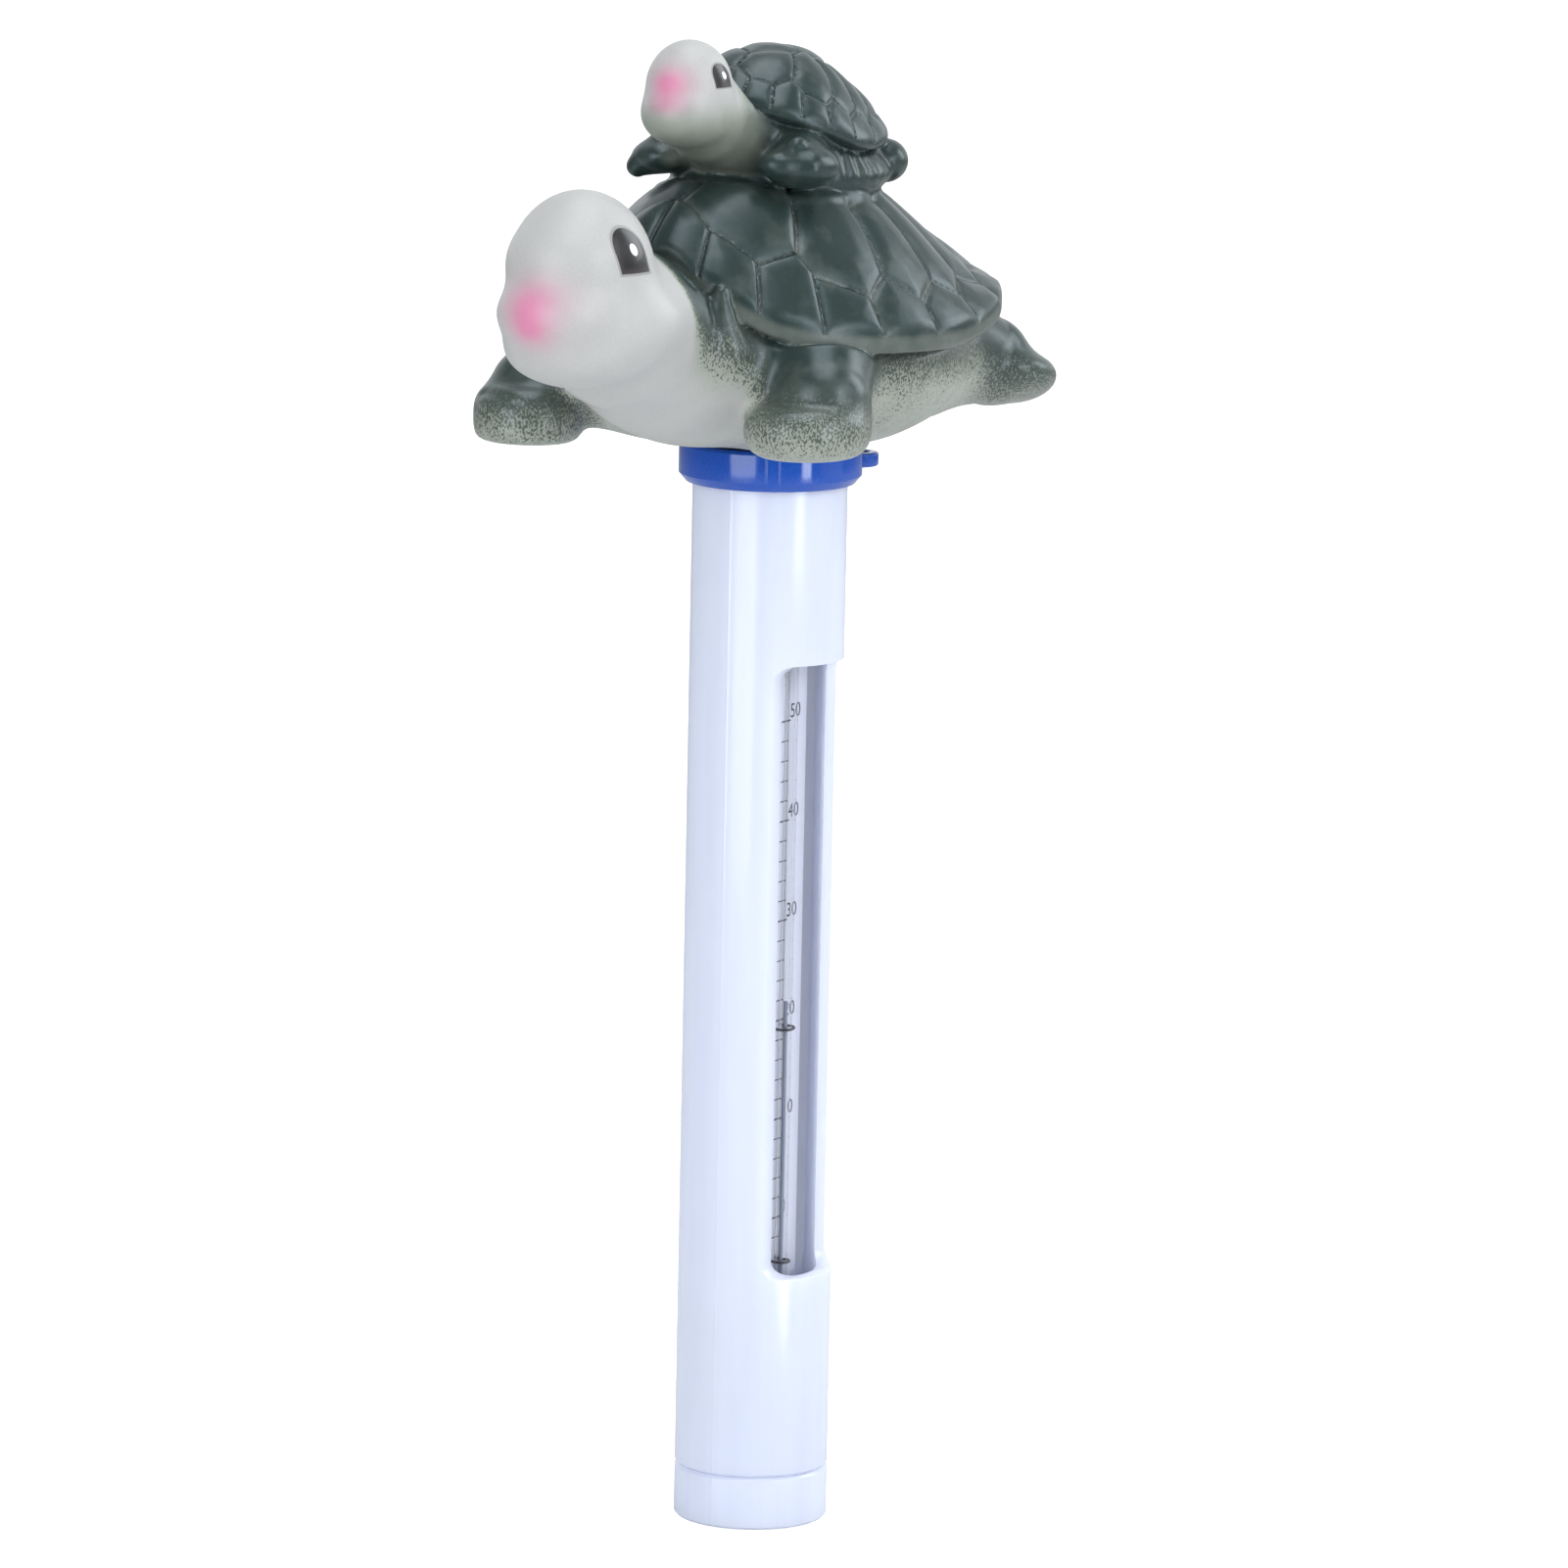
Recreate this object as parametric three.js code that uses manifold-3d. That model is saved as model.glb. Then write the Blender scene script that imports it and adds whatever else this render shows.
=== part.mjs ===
// Floating pool thermometer: a white tube with a reading window, a glass thermometer insert inside it,
// a blue screw collar on top, and a hollow vinyl float shaped as a turtle with its young on its back.
// Millimetres. Origin at the centre of the flat base, +Z up along the tube. The turtle faces -Y,
// its left side is +X, and the reading window faces +X.

import * as THREE from 'three';
import { mergeVertices } from 'three/addons/utils/BufferGeometryUtils.js';
import Module from 'manifold-3d';

const wasm = await Module();
wasm.setup();

// ---------------------------------------------------------------- driving dimensions

const TUBE_R = 11; // outer radius of the casing and of its end cap
const TUBE_WALL = 2.2;
const BORE_R = TUBE_R - TUBE_WALL;
const CAP_TOP = 7.6; // joint between the end cap and the casing
const SEAM_GAP = 0.05; // air left between pieces that rest on each other
const FINE_EDGE = 0.3; // chamfers of the shoulder and of the stem's end
const SMALL_EDGE = 0.4; // chamfer on the small turned and moulded edges
const JOINT_CHAMFER = 0.45; // chamfer on both edges of the cap joint, which makes the V groove
const SHOULDER_Z = 150.8; // the full outer radius ends here and the neck begins
const NECK_R = 10.2;
const TUBE_TOP = 153.1;
const THREAD_PITCH = 1.2;
const THREAD_TURNS = 1;
const THREAD_R = 0.4; // half height of the thread rib's diamond section
const THREAD_PROUD = 0.15; // how far the rib's centre line stands outside the neck
const THREAD_START = SHOULDER_Z + 0.5;

const WINDOW_FLAT_X = 6.26; // plane of the milled window rim
const WINDOW_LOW = 36.5;
const WINDOW_HIGH = 125;
const WINDOW_FILLET = 2.5;

const SPIGOT_TOP = 15;
const SPIGOT_R = BORE_R - 0.15;
const LOOSE_FIT = 0.3; // radial play of the pad and the spacer in the bore
const CAP_FLOOR = 2.4;
const BALLAST_R = 6.4;
const BALLAST_PLAY = 0.2;
const BALLAST_TOP = 13.5;
const SEAT_TOP = 18.4;

const GLASS_R = 8.15; // outer radius of the clear envelope
const GLASS_WALL = 1.05;
const GLASS_BOTTOM = SEAT_TOP + 0.1;
const GLASS_TOP = 136;
const RING_LOW_Z = 27;
const RING_HIGH_Z = 128;
const RING_HEIGHT = 4;
const STOPPER_HEAD = 3;
const STOPPER_DEPTH = 6;
const SPACER_TOP = 150.4;

const PLATE_FRONT_X = 3.2; // printed face of the scale plate
const PLATE_THICK = 0.8;
const PLATE_HALF_WIDTH = 6.1;
const PLATE_LOW = 34.5;
const PLATE_HIGH = 129;

const STEM_R = 0.95; // thermometer capillary
const STEM_PLAY = 0.12; // air round the stem
const STEM_X = PLATE_FRONT_X + STEM_R + STEM_PLAY;
const STEM_TOP = 127.6;
const STEM_BORE_R = 0.5;
const BULB_R = 2.3;
const BULB_HALF_HEIGHT = 4.6;
const BULB_Z = 26.5;
const BULB_WALL = 0.5;
const SPIRIT_CLEARANCE = 0.2; // between the spirit and the glass
const COLUMN_R = STEM_BORE_R - SPIRIT_CLEARANCE;
const COLUMN_FOOT = 34.2; // the column's fixed lower end
const COLUMN_GAP = 0.1; // between the spirit in the bulb and the column
const ZERO_MARK_Z = 43.8; // 0 degrees Celsius
const DEGREE = 1.44; // scale length of one degree Celsius
const READING = 22; // degrees Celsius shown at rest
const COLUMN_TOP = ZERO_MARK_Z + READING * DEGREE;

const CLIP_WIRE_R = 0.2;
const CLIP_HOLE_R = 0.5;
const CLIP_TAIL = 0.35; // how far the legs stand out behind the plate
const CLIP_LOOP_R = STEM_R + CLIP_WIRE_R + STEM_PLAY;
const CLIP_HEIGHTS = { clip_lower: 37.6, clip_middle: 71.6, clip_upper: 124.2 };

const COLLAR_R = 13;
const COLLAR_LOW = 150;
const COLLAR_TOP = 155.7;
const COLLAR_CHAMFER = 1.2;
const COLLAR_BORE_R = 11.25;
const WEB_LOW = 154.2; // underside of the web that closes the collar
const WASHER_THICK = 1;
const WASHER_R = 10.9;
const WASHER_HOLE_R = 8;
const LUG_ANGLE = 153; // degrees round the tube from -Y towards +X
const LUG_REACH = 14.5;
const LUG_R = 3.2;
const LUG_HOLE_R = 1.5;
const LUG_HOLE_REACH = LUG_REACH + 0.3;
const LUG_THICK = 2;
const LUG_TOP = 153.4;

const FIGURE_BASE = 155.9; // flat of the turtle's belly
const VINYL = 2; // wall of the hollow figure
const HUB_R = 8; // hub of the plug
const PLUG_FLANGE_R = 11;
const PLUG_FLANGE = 1.8;
const PLUG_FLANGE_EDGE = 0.6; // height of the flange's rim
const VINYL_PLAY = 0.15;
const NECK_HOLE_R = HUB_R + VINYL_PLAY; // opening in the belly
const BOSS_R = 4; // boss above the flange that takes the screw
const BOSS_CROWN = 1;
const SCREW_R = 1.5;
const SCREW_PLAY = 0.15;
const SCREW_HEAD_R = 2.9;
const SCREW_HEAD = 1.4;
const SCREW_SLOT = 0.8; // width and depth of the driver slot
const SCREW_TOP = 161.5;

const ROUND = 40; // segments of the large round pieces
const MEDIUM_ROUND = 32; // of the pieces inside the bore
const SMALL_ROUND = 20; // of screws, stems and rods
const FINE_ROUND = 16; // of the spirit

// ---------------------------------------------------------------- materials

const material = (color, roughness, metalness = 0, extra = {}) =>
  new THREE.MeshStandardMaterial({ color, roughness, metalness, ...extra });

const whitePlastic = () => material(0xe9eef8, 0.25);
const bluePlastic = () => material(0x1f49a8, 0.25);
const clearGlass = () => material(0xdfe4ee, 0.05, 0, { transparent: true, opacity: 0.35 });
const greyRubber = () => material(0x3c3f42, 0.8);
const steel = () => material(0x9a9ea3, 0.35, 1);

// ---------------------------------------------------------------- solids

// A geometry reduced to its shared corner points, with the collapsed triangles at its poles removed.
function closedSurface(geometry) {
  const bare = geometry.clone();
  bare.deleteAttribute('normal');
  bare.deleteAttribute('uv');
  const merged = mergeVertices(bare, 1e-4);
  const kept = [];
  for (let i = 0; i < merged.index.count; i += 3) {
    const [a, b, c] = [0, 1, 2].map((k) => merged.index.getX(i + k));
    if (a !== b && b !== c && c !== a) kept.push(a, b, c);
  }
  merged.setIndex(kept);
  return merged;
}

function solid(geometry) {
  const surface = closedSurface(geometry);
  const vertProperties = new Float32Array(surface.attributes.position.array);
  const triVerts = new Uint32Array(surface.index.array);
  return new wasm.Manifold(new wasm.Mesh({ numProp: 3, vertProperties, triVerts }));
}

function geometryOf(manifold) {
  const mesh = manifold.getMesh();
  const geometry = new THREE.BufferGeometry();
  geometry.setAttribute('position', new THREE.BufferAttribute(new Float32Array(mesh.vertProperties), 3));
  geometry.setIndex(new THREE.BufferAttribute(new Uint32Array(mesh.triVerts), 1));
  geometry.computeVertexNormals();
  return geometry;
}

const union = (solids) => solids.reduce((whole, piece) => whole.add(piece));

// A solid of revolution about Z. The outline runs up the outside and down the inside.
function revolved(outline, segments = ROUND) {
  const points = outline.map(([r, z]) => new THREE.Vector2(r, z));
  return new THREE.LatheGeometry(points, segments).rotateX(Math.PI / 2);
}

// A ring or tube: closed outline that never meets the axis.
const ring = (inner, outer, low, high, segments = ROUND) =>
  revolved([[inner, low], [outer, low], [outer, high], [inner, high], [inner, low]], segments);

const rod = (radius, low, high, segments = SMALL_ROUND) =>
  revolved([[0, low], [radius, low], [radius, high], [0, high]], segments);

// Rounding can leave a point of an arc a hair off the axis; this puts it on the axis.
const onAxis = ([r, z]) => [r < 1e-6 ? 0 : r, z];

// Points of an arc in an outline, from one angle to another in degrees, both ends included.
function arc(centreR, centreZ, radiusR, radiusZ, from, to, steps) {
  return Array.from({ length: steps + 1 }, (_, i) => {
    const angle = THREE.MathUtils.degToRad(from + ((to - from) * i) / steps);
    return [centreR + radiusR * Math.cos(angle), centreZ + radiusZ * Math.sin(angle)];
  });
}

// A flat shape drawn in X and Z, extruded along Y and centred on Y = 0.
function extrudedAlongY(shape, depth, curveSegments = 6) {
  return new THREE.ExtrudeGeometry(shape, { depth, bevelEnabled: false, curveSegments })
    .rotateX(Math.PI / 2)
    .translate(0, depth / 2, 0);
}

function ellipsoid({ at, radii, turn = [0, 0, 0], fine = 10 }, shrink = 0) {
  const [rx, ry, rz] = radii.map((r) => r - shrink);
  const [ax, ay, az] = turn.map(THREE.MathUtils.degToRad);
  return new THREE.SphereGeometry(1, fine, Math.round(fine * 0.6))
    .rotateX(Math.PI / 2)
    .scale(rx, ry, rz)
    .applyMatrix4(new THREE.Matrix4().makeRotationFromEuler(new THREE.Euler(ax, ay, az)))
    .translate(...at);
}

// ---------------------------------------------------------------- casing

function windowCutter() {
  const outside = TUBE_R + 4;
  const shape = new THREE.Shape();
  shape.moveTo(outside, WINDOW_LOW);
  shape.lineTo(outside, WINDOW_HIGH);
  shape.lineTo(WINDOW_FLAT_X + WINDOW_FILLET, WINDOW_HIGH);
  const centreX = WINDOW_FLAT_X + WINDOW_FILLET;
  shape.absarc(centreX, WINDOW_HIGH - WINDOW_FILLET, WINDOW_FILLET, Math.PI / 2, Math.PI, false);
  shape.absarc(centreX, WINDOW_LOW + WINDOW_FILLET, WINDOW_FILLET, Math.PI, 1.5 * Math.PI, false);
  shape.lineTo(outside, WINDOW_LOW);
  return extrudedAlongY(shape, 4 * TUBE_R);
}

class Helix extends THREE.Curve {
  constructor(radius, pitch, turns, startZ) {
    super();
    Object.assign(this, { radius, pitch, turns, startZ });
  }

  getPoint(t, target = new THREE.Vector3()) {
    const angle = 2 * Math.PI * this.turns * t;
    const z = this.startZ + this.pitch * this.turns * t;
    return target.set(this.radius * Math.cos(angle), this.radius * Math.sin(angle), z);
  }
}

// The rib has a diamond section, half of it sunk in the neck.
function threadRib() {
  const path = new Helix(NECK_R + THREAD_PROUD, THREAD_PITCH, THREAD_TURNS, THREAD_START);
  const section = new THREE.Shape();
  section.moveTo(THREAD_R, 0);
  section.lineTo(0, THREAD_R);
  section.lineTo(-THREAD_R, 0);
  section.lineTo(0, -THREAD_R);
  return new THREE.ExtrudeGeometry(section, { steps: 32 * THREAD_TURNS, extrudePath: path });
}

function casingTube() {
  const low = CAP_TOP + SEAM_GAP;
  const outline = [
    [BORE_R, low],
    [TUBE_R - JOINT_CHAMFER, low],
    [TUBE_R, low + JOINT_CHAMFER],
    [TUBE_R, SHOULDER_Z - FINE_EDGE],
    [TUBE_R - FINE_EDGE, SHOULDER_Z],
    [NECK_R, SHOULDER_Z],
    [NECK_R, TUBE_TOP],
    [BORE_R, TUBE_TOP],
    [BORE_R, low],
  ];
  return geometryOf(solid(revolved(outline)).subtract(solid(windowCutter())).add(solid(threadRib())));
}

// Plugs the lower end: a flat closed base and a hollow spigot that holds the ballast.
function endCap() {
  return revolved([
    [0, 0],
    [TUBE_R - SMALL_EDGE, 0],
    [TUBE_R, SMALL_EDGE],
    [TUBE_R, CAP_TOP - JOINT_CHAMFER],
    [TUBE_R - JOINT_CHAMFER, CAP_TOP],
    [SPIGOT_R, CAP_TOP],
    [SPIGOT_R, SPIGOT_TOP - SMALL_EDGE],
    [SPIGOT_R - SMALL_EDGE, SPIGOT_TOP],
    [BALLAST_R + BALLAST_PLAY, SPIGOT_TOP],
    [BALLAST_R + BALLAST_PLAY, CAP_FLOOR],
    [0, CAP_FLOOR],
  ]);
}

const ballastWeight = () => rod(BALLAST_R, CAP_FLOOR + 0.05, BALLAST_TOP, MEDIUM_ROUND);

const rubberSeat = () => rod(BORE_R - LOOSE_FIT, SPIGOT_TOP + SEAM_GAP, SEAT_TOP, MEDIUM_ROUND);

// ---------------------------------------------------------------- thermometer insert

// A round-bottomed tube, open at the top where the stopper goes in.
function glassEnvelope() {
  const inner = GLASS_R - GLASS_WALL;
  const bulge = 5;
  const innerBulge = bulge - GLASS_WALL;
  const shoulder = GLASS_BOTTOM + bulge;
  return revolved(
    [
      ...arc(0, shoulder, GLASS_R, bulge, -90, 0, 5),
      [GLASS_R, GLASS_TOP],
      [inner, GLASS_TOP],
      ...arc(0, shoulder, inner, innerBulge, 0, -90, 5),
    ].map(onAxis),
    MEDIUM_ROUND,
  );
}

const centringRing = (low) => ring(GLASS_R + 0.08, BORE_R - 0.07, low, low + RING_HEIGHT);

// A tapered rubber bung with a head that rests on the glass.
function envelopeStopper() {
  const inner = GLASS_R - GLASS_WALL;
  return revolved(
    [
      [0, GLASS_TOP - STOPPER_DEPTH],
      [inner - 0.5, GLASS_TOP - STOPPER_DEPTH],
      [inner - 0.12, GLASS_TOP - 1],
      [inner - 0.12, GLASS_TOP + SEAM_GAP],
      [GLASS_R, GLASS_TOP + SEAM_GAP],
      [GLASS_R, GLASS_TOP + STOPPER_HEAD],
      [0, GLASS_TOP + STOPPER_HEAD],
    ],
    MEDIUM_ROUND,
  );
}

const foamSpacer = () => rod(BORE_R - LOOSE_FIT, GLASS_TOP + STOPPER_HEAD + SEAM_GAP, SPACER_TOP, MEDIUM_ROUND);

// Two holes beside the capillary at each clip take the clip's legs.
function scalePlate() {
  const plate = new THREE.BoxGeometry(PLATE_THICK, 2 * PLATE_HALF_WIDTH, PLATE_HIGH - PLATE_LOW);
  plate.translate(PLATE_FRONT_X - PLATE_THICK / 2, 0, (PLATE_HIGH + PLATE_LOW) / 2);
  const hole = (y, z) =>
    new THREE.CylinderGeometry(CLIP_HOLE_R, CLIP_HOLE_R, 4 * PLATE_THICK, 12)
      .rotateZ(Math.PI / 2)
      .translate(PLATE_FRONT_X - PLATE_THICK / 2, y, z);
  const holes = Object.values(CLIP_HEIGHTS).flatMap((z) => [hole(-CLIP_LOOP_R, z), hole(CLIP_LOOP_R, z)]);
  return geometryOf(solid(plate).subtract(union(holes.map(solid))));
}

// Glass stem and bulb in one piece. The bore stays open at the top.
function capillaryTube() {
  const innerR = BULB_R - BULB_WALL;
  const innerHalf = BULB_HALF_HEIGHT - BULB_WALL;
  const outerEnd = THREE.MathUtils.radToDeg(Math.acos(STEM_R / BULB_R));
  const innerEnd = THREE.MathUtils.radToDeg(Math.acos(STEM_BORE_R / innerR));
  return revolved(
    [
      ...arc(0, BULB_Z, BULB_R, BULB_HALF_HEIGHT, -90, outerEnd, 8),
      [STEM_R, STEM_TOP - FINE_EDGE],
      [STEM_R - FINE_EDGE, STEM_TOP],
      [STEM_BORE_R, STEM_TOP],
      ...arc(0, BULB_Z, innerR, innerHalf, innerEnd, -90, 8),
    ].map(onAxis),
    SMALL_ROUND,
  ).translate(STEM_X, 0, 0);
}

// Spirit that stays in the bulb, with a thread of it in the lowest part of the bore.
function bulbSpirit() {
  const radius = BULB_R - BULB_WALL - SPIRIT_CLEARANCE;
  const half = BULB_HALF_HEIGHT - BULB_WALL - SPIRIT_CLEARANCE;
  const end = THREE.MathUtils.radToDeg(Math.acos(COLUMN_R / radius));
  const top = COLUMN_FOOT - COLUMN_GAP;
  const outline = [...arc(0, BULB_Z, radius, half, -90, end, 7), [COLUMN_R, top], [0, top]];
  return revolved(outline.map(onAxis), FINE_ROUND).translate(STEM_X, 0, 0);
}

const spiritColumn = () => rod(COLUMN_R, COLUMN_FOOT, COLUMN_TOP, FINE_ROUND).translate(STEM_X, 0, 0);

// A wire staple: both legs pass through the plate and the loop lies over the capillary.
function clip(z) {
  const back = PLATE_FRONT_X - PLATE_THICK - CLIP_TAIL;
  const path = new THREE.CurvePath();
  const point = (x, y) => new THREE.Vector3(x, y, z);
  const steps = 8;
  const loop = Array.from({ length: steps + 1 }, (_, i) => {
    const angle = -Math.PI / 2 + (Math.PI * i) / steps;
    return point(STEM_X + CLIP_LOOP_R * Math.cos(angle), CLIP_LOOP_R * Math.sin(angle));
  });
  const corners = [point(back, -CLIP_LOOP_R), ...loop, point(back, CLIP_LOOP_R)];
  for (let i = 1; i < corners.length; i += 1) path.add(new THREE.LineCurve3(corners[i - 1], corners[i]));
  const section = new THREE.Shape().absarc(0, 0, CLIP_WIRE_R, 0, 2 * Math.PI, false);
  return new THREE.ExtrudeGeometry(section, { steps: 18, extrudePath: path, curveSegments: 3 });
}

// ---------------------------------------------------------------- collar

const sealingWasher = () =>
  ring(WASHER_HOLE_R, WASHER_R, TUBE_TOP + SEAM_GAP, TUBE_TOP + WASHER_THICK);

// A rounded tab with a vertical hole for the cord.
function lug() {
  const root = COLLAR_BORE_R + 0.6;
  const outline = new THREE.Shape();
  outline.moveTo(root, -LUG_R);
  outline.lineTo(LUG_REACH, -LUG_R);
  outline.absarc(LUG_REACH, 0, LUG_R, -Math.PI / 2, Math.PI / 2, false);
  outline.lineTo(root, LUG_R);
  const hole = new THREE.Path().absarc(LUG_HOLE_REACH, 0, LUG_HOLE_R, 0, 2 * Math.PI, true);
  outline.holes.push(hole);
  const tab = new THREE.ExtrudeGeometry(outline, { depth: LUG_THICK, bevelEnabled: false, curveSegments: 8 });
  return tab
    .rotateZ(THREE.MathUtils.degToRad(LUG_ANGLE - 90))
    .translate(0, 0, LUG_TOP - LUG_THICK);
}

// A cap closed by a web, with a central hole for the screw that pulls the plug down.
function screwCollar() {
  const edge = 0.5;
  const cap = revolved([
    [SCREW_R + 2 * SCREW_PLAY, WEB_LOW],
    [COLLAR_BORE_R, WEB_LOW],
    [COLLAR_BORE_R, COLLAR_LOW],
    [COLLAR_R - 1, COLLAR_LOW],
    [COLLAR_R, COLLAR_LOW + COLLAR_CHAMFER],
    [COLLAR_R, COLLAR_TOP - edge],
    [COLLAR_R - edge, COLLAR_TOP],
    [SCREW_R + 2 * SCREW_PLAY, COLLAR_TOP],
    [SCREW_R + 2 * SCREW_PLAY, WEB_LOW],
  ]);
  return geometryOf(solid(cap).add(solid(lug())));
}

// The hub fills the opening in the belly and the flange above it grips the vinyl wall against the collar.
function floatPlug() {
  const low = COLLAR_TOP + SEAM_GAP;
  const flangeLow = FIGURE_BASE + VINYL + VINYL_PLAY;
  const flangeTop = flangeLow + PLUG_FLANGE_EDGE;
  const top = flangeLow + PLUG_FLANGE;
  return revolved(
    [
      [SCREW_R + SCREW_PLAY, low],
      [HUB_R, low],
      [HUB_R, flangeLow],
      [PLUG_FLANGE_R, flangeLow],
      [PLUG_FLANGE_R, flangeTop],
      [HUB_R, top],
      [BOSS_R, top],
      [BOSS_R, SCREW_TOP + BOSS_CROWN],
      [0, SCREW_TOP + BOSS_CROWN],
      [0, SCREW_TOP + SCREW_PLAY],
      [SCREW_R + SCREW_PLAY, SCREW_TOP + SCREW_PLAY],
      [SCREW_R + SCREW_PLAY, low],
    ],
    ROUND,
  );
}

function plugScrew() {
  const headTop = WEB_LOW - SEAM_GAP;
  const headLow = headTop - SCREW_HEAD;
  const slot = new THREE.BoxGeometry(SCREW_SLOT, 3 * SCREW_HEAD_R, SCREW_SLOT).translate(0, 0, headLow);
  const body = revolved(
    [
      [0, headLow],
      [SCREW_HEAD_R - SMALL_EDGE, headLow],
      [SCREW_HEAD_R, headLow + SMALL_EDGE],
      [SCREW_HEAD_R, headTop],
      [SCREW_R, headTop],
      [SCREW_R, SCREW_TOP - 1.5],
      [0, SCREW_TOP],
    ],
    SMALL_ROUND,
  );
  return geometryOf(solid(body).subtract(solid(slot)));
}

// ---------------------------------------------------------------- turtle figure

const MOTHER_SHELL = { at: [0.3, 0.4, 173.6], halfWidth: 30.3, halfLength: 36, height: 24.5, lip: 2.7, bow: 1.7 };
const BABY_SHELL = { at: [0, -1, 199.3], halfWidth: 15.4, halfLength: 17.3, height: 12.2, lip: 1.8, bow: 2.1 };
const BABY_PITCH = -17; // the young one's shell is tipped nose up

const mirrored = (lump) => [
  lump,
  {
    ...lump,
    at: [-lump.at[0], lump.at[1], lump.at[2]],
    turn: lump.turn ? [lump.turn[0], -lump.turn[1], -lump.turn[2]] : undefined,
  },
];

// Lumps marked hollow carry the cavity inside them.
const FIGURE_LUMPS = [
  { at: [0, 1, 168.3], radii: [27, 32, 12.7], fine: 16, hollow: true }, // body
  { at: [0, -24, 169.8], radii: [18, 15, 11], hollow: true }, // chest
  { at: [0, -35, 174], radii: [12.6, 16, 11.6], hollow: true }, // neck
  { at: [0, -54, 183.8], radii: [9.7, 10.2, 11.8], hollow: true }, // forehead
  { at: [0, -49, 177], radii: [12.6, 12.3, 8.8], hollow: true }, // jowls
  { at: [0, -59, 177.2], radii: [8, 6.8, 6.6] }, // muzzle
  { at: [0, -55, 173.6], radii: [8.5, 8, 4.6] }, // chin
  { at: [22.8, -28, 163], radii: [7.4, 8.4, 5.2], turn: [0, 0, -15] }, // front left foot
  { at: [-22, -29, 161.2], radii: [7.2, 8.2, 5.2], turn: [0, 0, 15] }, // front right foot
  ...mirrored({ at: [20.5, -24, 168], radii: [8, 8.5, 8.5] }), // front legs
  ...mirrored({ at: [15, -20, 164], radii: [11, 9, 6.5], turn: [0, 0, -35] }), // shoulders
  ...mirrored({ at: [22.5, 28, 165], radii: [6.2, 8.5, 5], turn: [0, 0, 35] }), // rear feet
  ...mirrored({ at: [18.5, 21, 168], radii: [8, 8, 6.5] }), // rear legs
  { at: [0, 34, 166], radii: [3, 7, 2.6], turn: [20, 0, 0], fine: 8 }, // tail
  { at: [0, 1, 195], radii: [15.2, 15.8, 7], hollow: true }, // young one's body
  { at: [0, -15, 201.5], radii: [7, 8, 6.5], fine: 9, hollow: true }, // its neck
  { at: [0, -25, 207.2], radii: [5.9, 6.2, 6.8], fine: 9, hollow: true }, // its forehead
  { at: [0, -24, 203], radii: [7, 6.8, 5], fine: 9, hollow: true }, // its jowls
  { at: [0, -27.8, 203.4], radii: [4.8, 4, 3.8], fine: 8 }, // its muzzle
  ...mirrored({ at: [11, -14, 196.2], radii: [5, 5.2, 3.9], turn: [0, 0, -15], fine: 8 }),
  ...mirrored({ at: [9.5, -10, 198.5], radii: [4.6, 4.6, 4.2], fine: 8 }),
  ...mirrored({ at: [10.5, 11.5, 196], radii: [4, 4.8, 3.6], turn: [0, 0, 35], fine: 8 }),
];

// A domed oval shell with a short vertical lip. Its bow is the power of the dome's outline.
function shell({ at, halfWidth, halfLength, height, lip, bow }, pitch = 0, shrink = 0) {
  const size = (halfWidth - shrink) / halfWidth;
  const steps = 5;
  const dome = Array.from({ length: steps + 1 }, (_, i) => {
    const r = Math.cos((Math.PI / 2) * (i / steps));
    return [i === steps ? 0 : r, (height - shrink) * (1 - r ** bow)];
  });
  return revolved([[0, -lip + shrink], [0.93, -lip + shrink], ...dome], 24)
    .scale(halfWidth * size, halfLength - shrink, 1)
    .rotateX(THREE.MathUtils.degToRad(pitch))
    .translate(...at);
}

function turtleFigure() {
  const outside = union([
    solid(shell(MOTHER_SHELL)),
    solid(shell(BABY_SHELL, BABY_PITCH)),
    ...FIGURE_LUMPS.map((lump) => solid(ellipsoid(lump))),
  ]);
  const cavity = union([
    solid(shell(MOTHER_SHELL, 0, VINYL)),
    solid(shell(BABY_SHELL, BABY_PITCH, VINYL)),
    ...FIGURE_LUMPS.filter((lump) => lump.hollow).map((lump) => solid(ellipsoid(lump, VINYL))),
  ]);
  const span = 200;
  const below = (level) => solid(new THREE.BoxGeometry(span, span, span).translate(0, 0, level - span / 2));
  const floor = FIGURE_BASE + VINYL;
  const opening = solid(rod(NECK_HOLE_R, FIGURE_BASE - 5, floor + 4, 32));
  const flangeSeat = solid(rod(PLUG_FLANGE_R + 0.5, floor, floor + 3, 32));
  const hollow = cavity.subtract(below(floor)).add(flangeSeat).add(opening);
  return geometryOf(outside.subtract(below(FIGURE_BASE)).subtract(hollow));
}

// ---------------------------------------------------------------- assembly

const thermometer = new THREE.Group();

function place(name, geometry, look) {
  const mesh = new THREE.Mesh(geometry, look);
  mesh.name = name;
  thermometer.add(mesh);
}

place('casing_tube', casingTube(), whitePlastic());
place('end_cap', closedSurface(endCap()), whitePlastic());
place('ballast_weight', closedSurface(ballastWeight()), steel());
place('rubber_seat', closedSurface(rubberSeat()), greyRubber());
place('lower_ring', closedSurface(centringRing(RING_LOW_Z)), greyRubber());
place('upper_ring', closedSurface(centringRing(RING_HIGH_Z)), greyRubber());
place('glass_envelope', closedSurface(glassEnvelope()), clearGlass());
place('envelope_stopper', closedSurface(envelopeStopper()), greyRubber());
place('foam_spacer', closedSurface(foamSpacer()), material(0xe6e4de, 0.95));
place('scale_plate', scalePlate(), material(0xd9d9e4, 0.6));
place('capillary_tube', closedSurface(capillaryTube()), clearGlass());
place('bulb_spirit', closedSurface(bulbSpirit()), material(0x8d99b8, 0.2));
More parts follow.
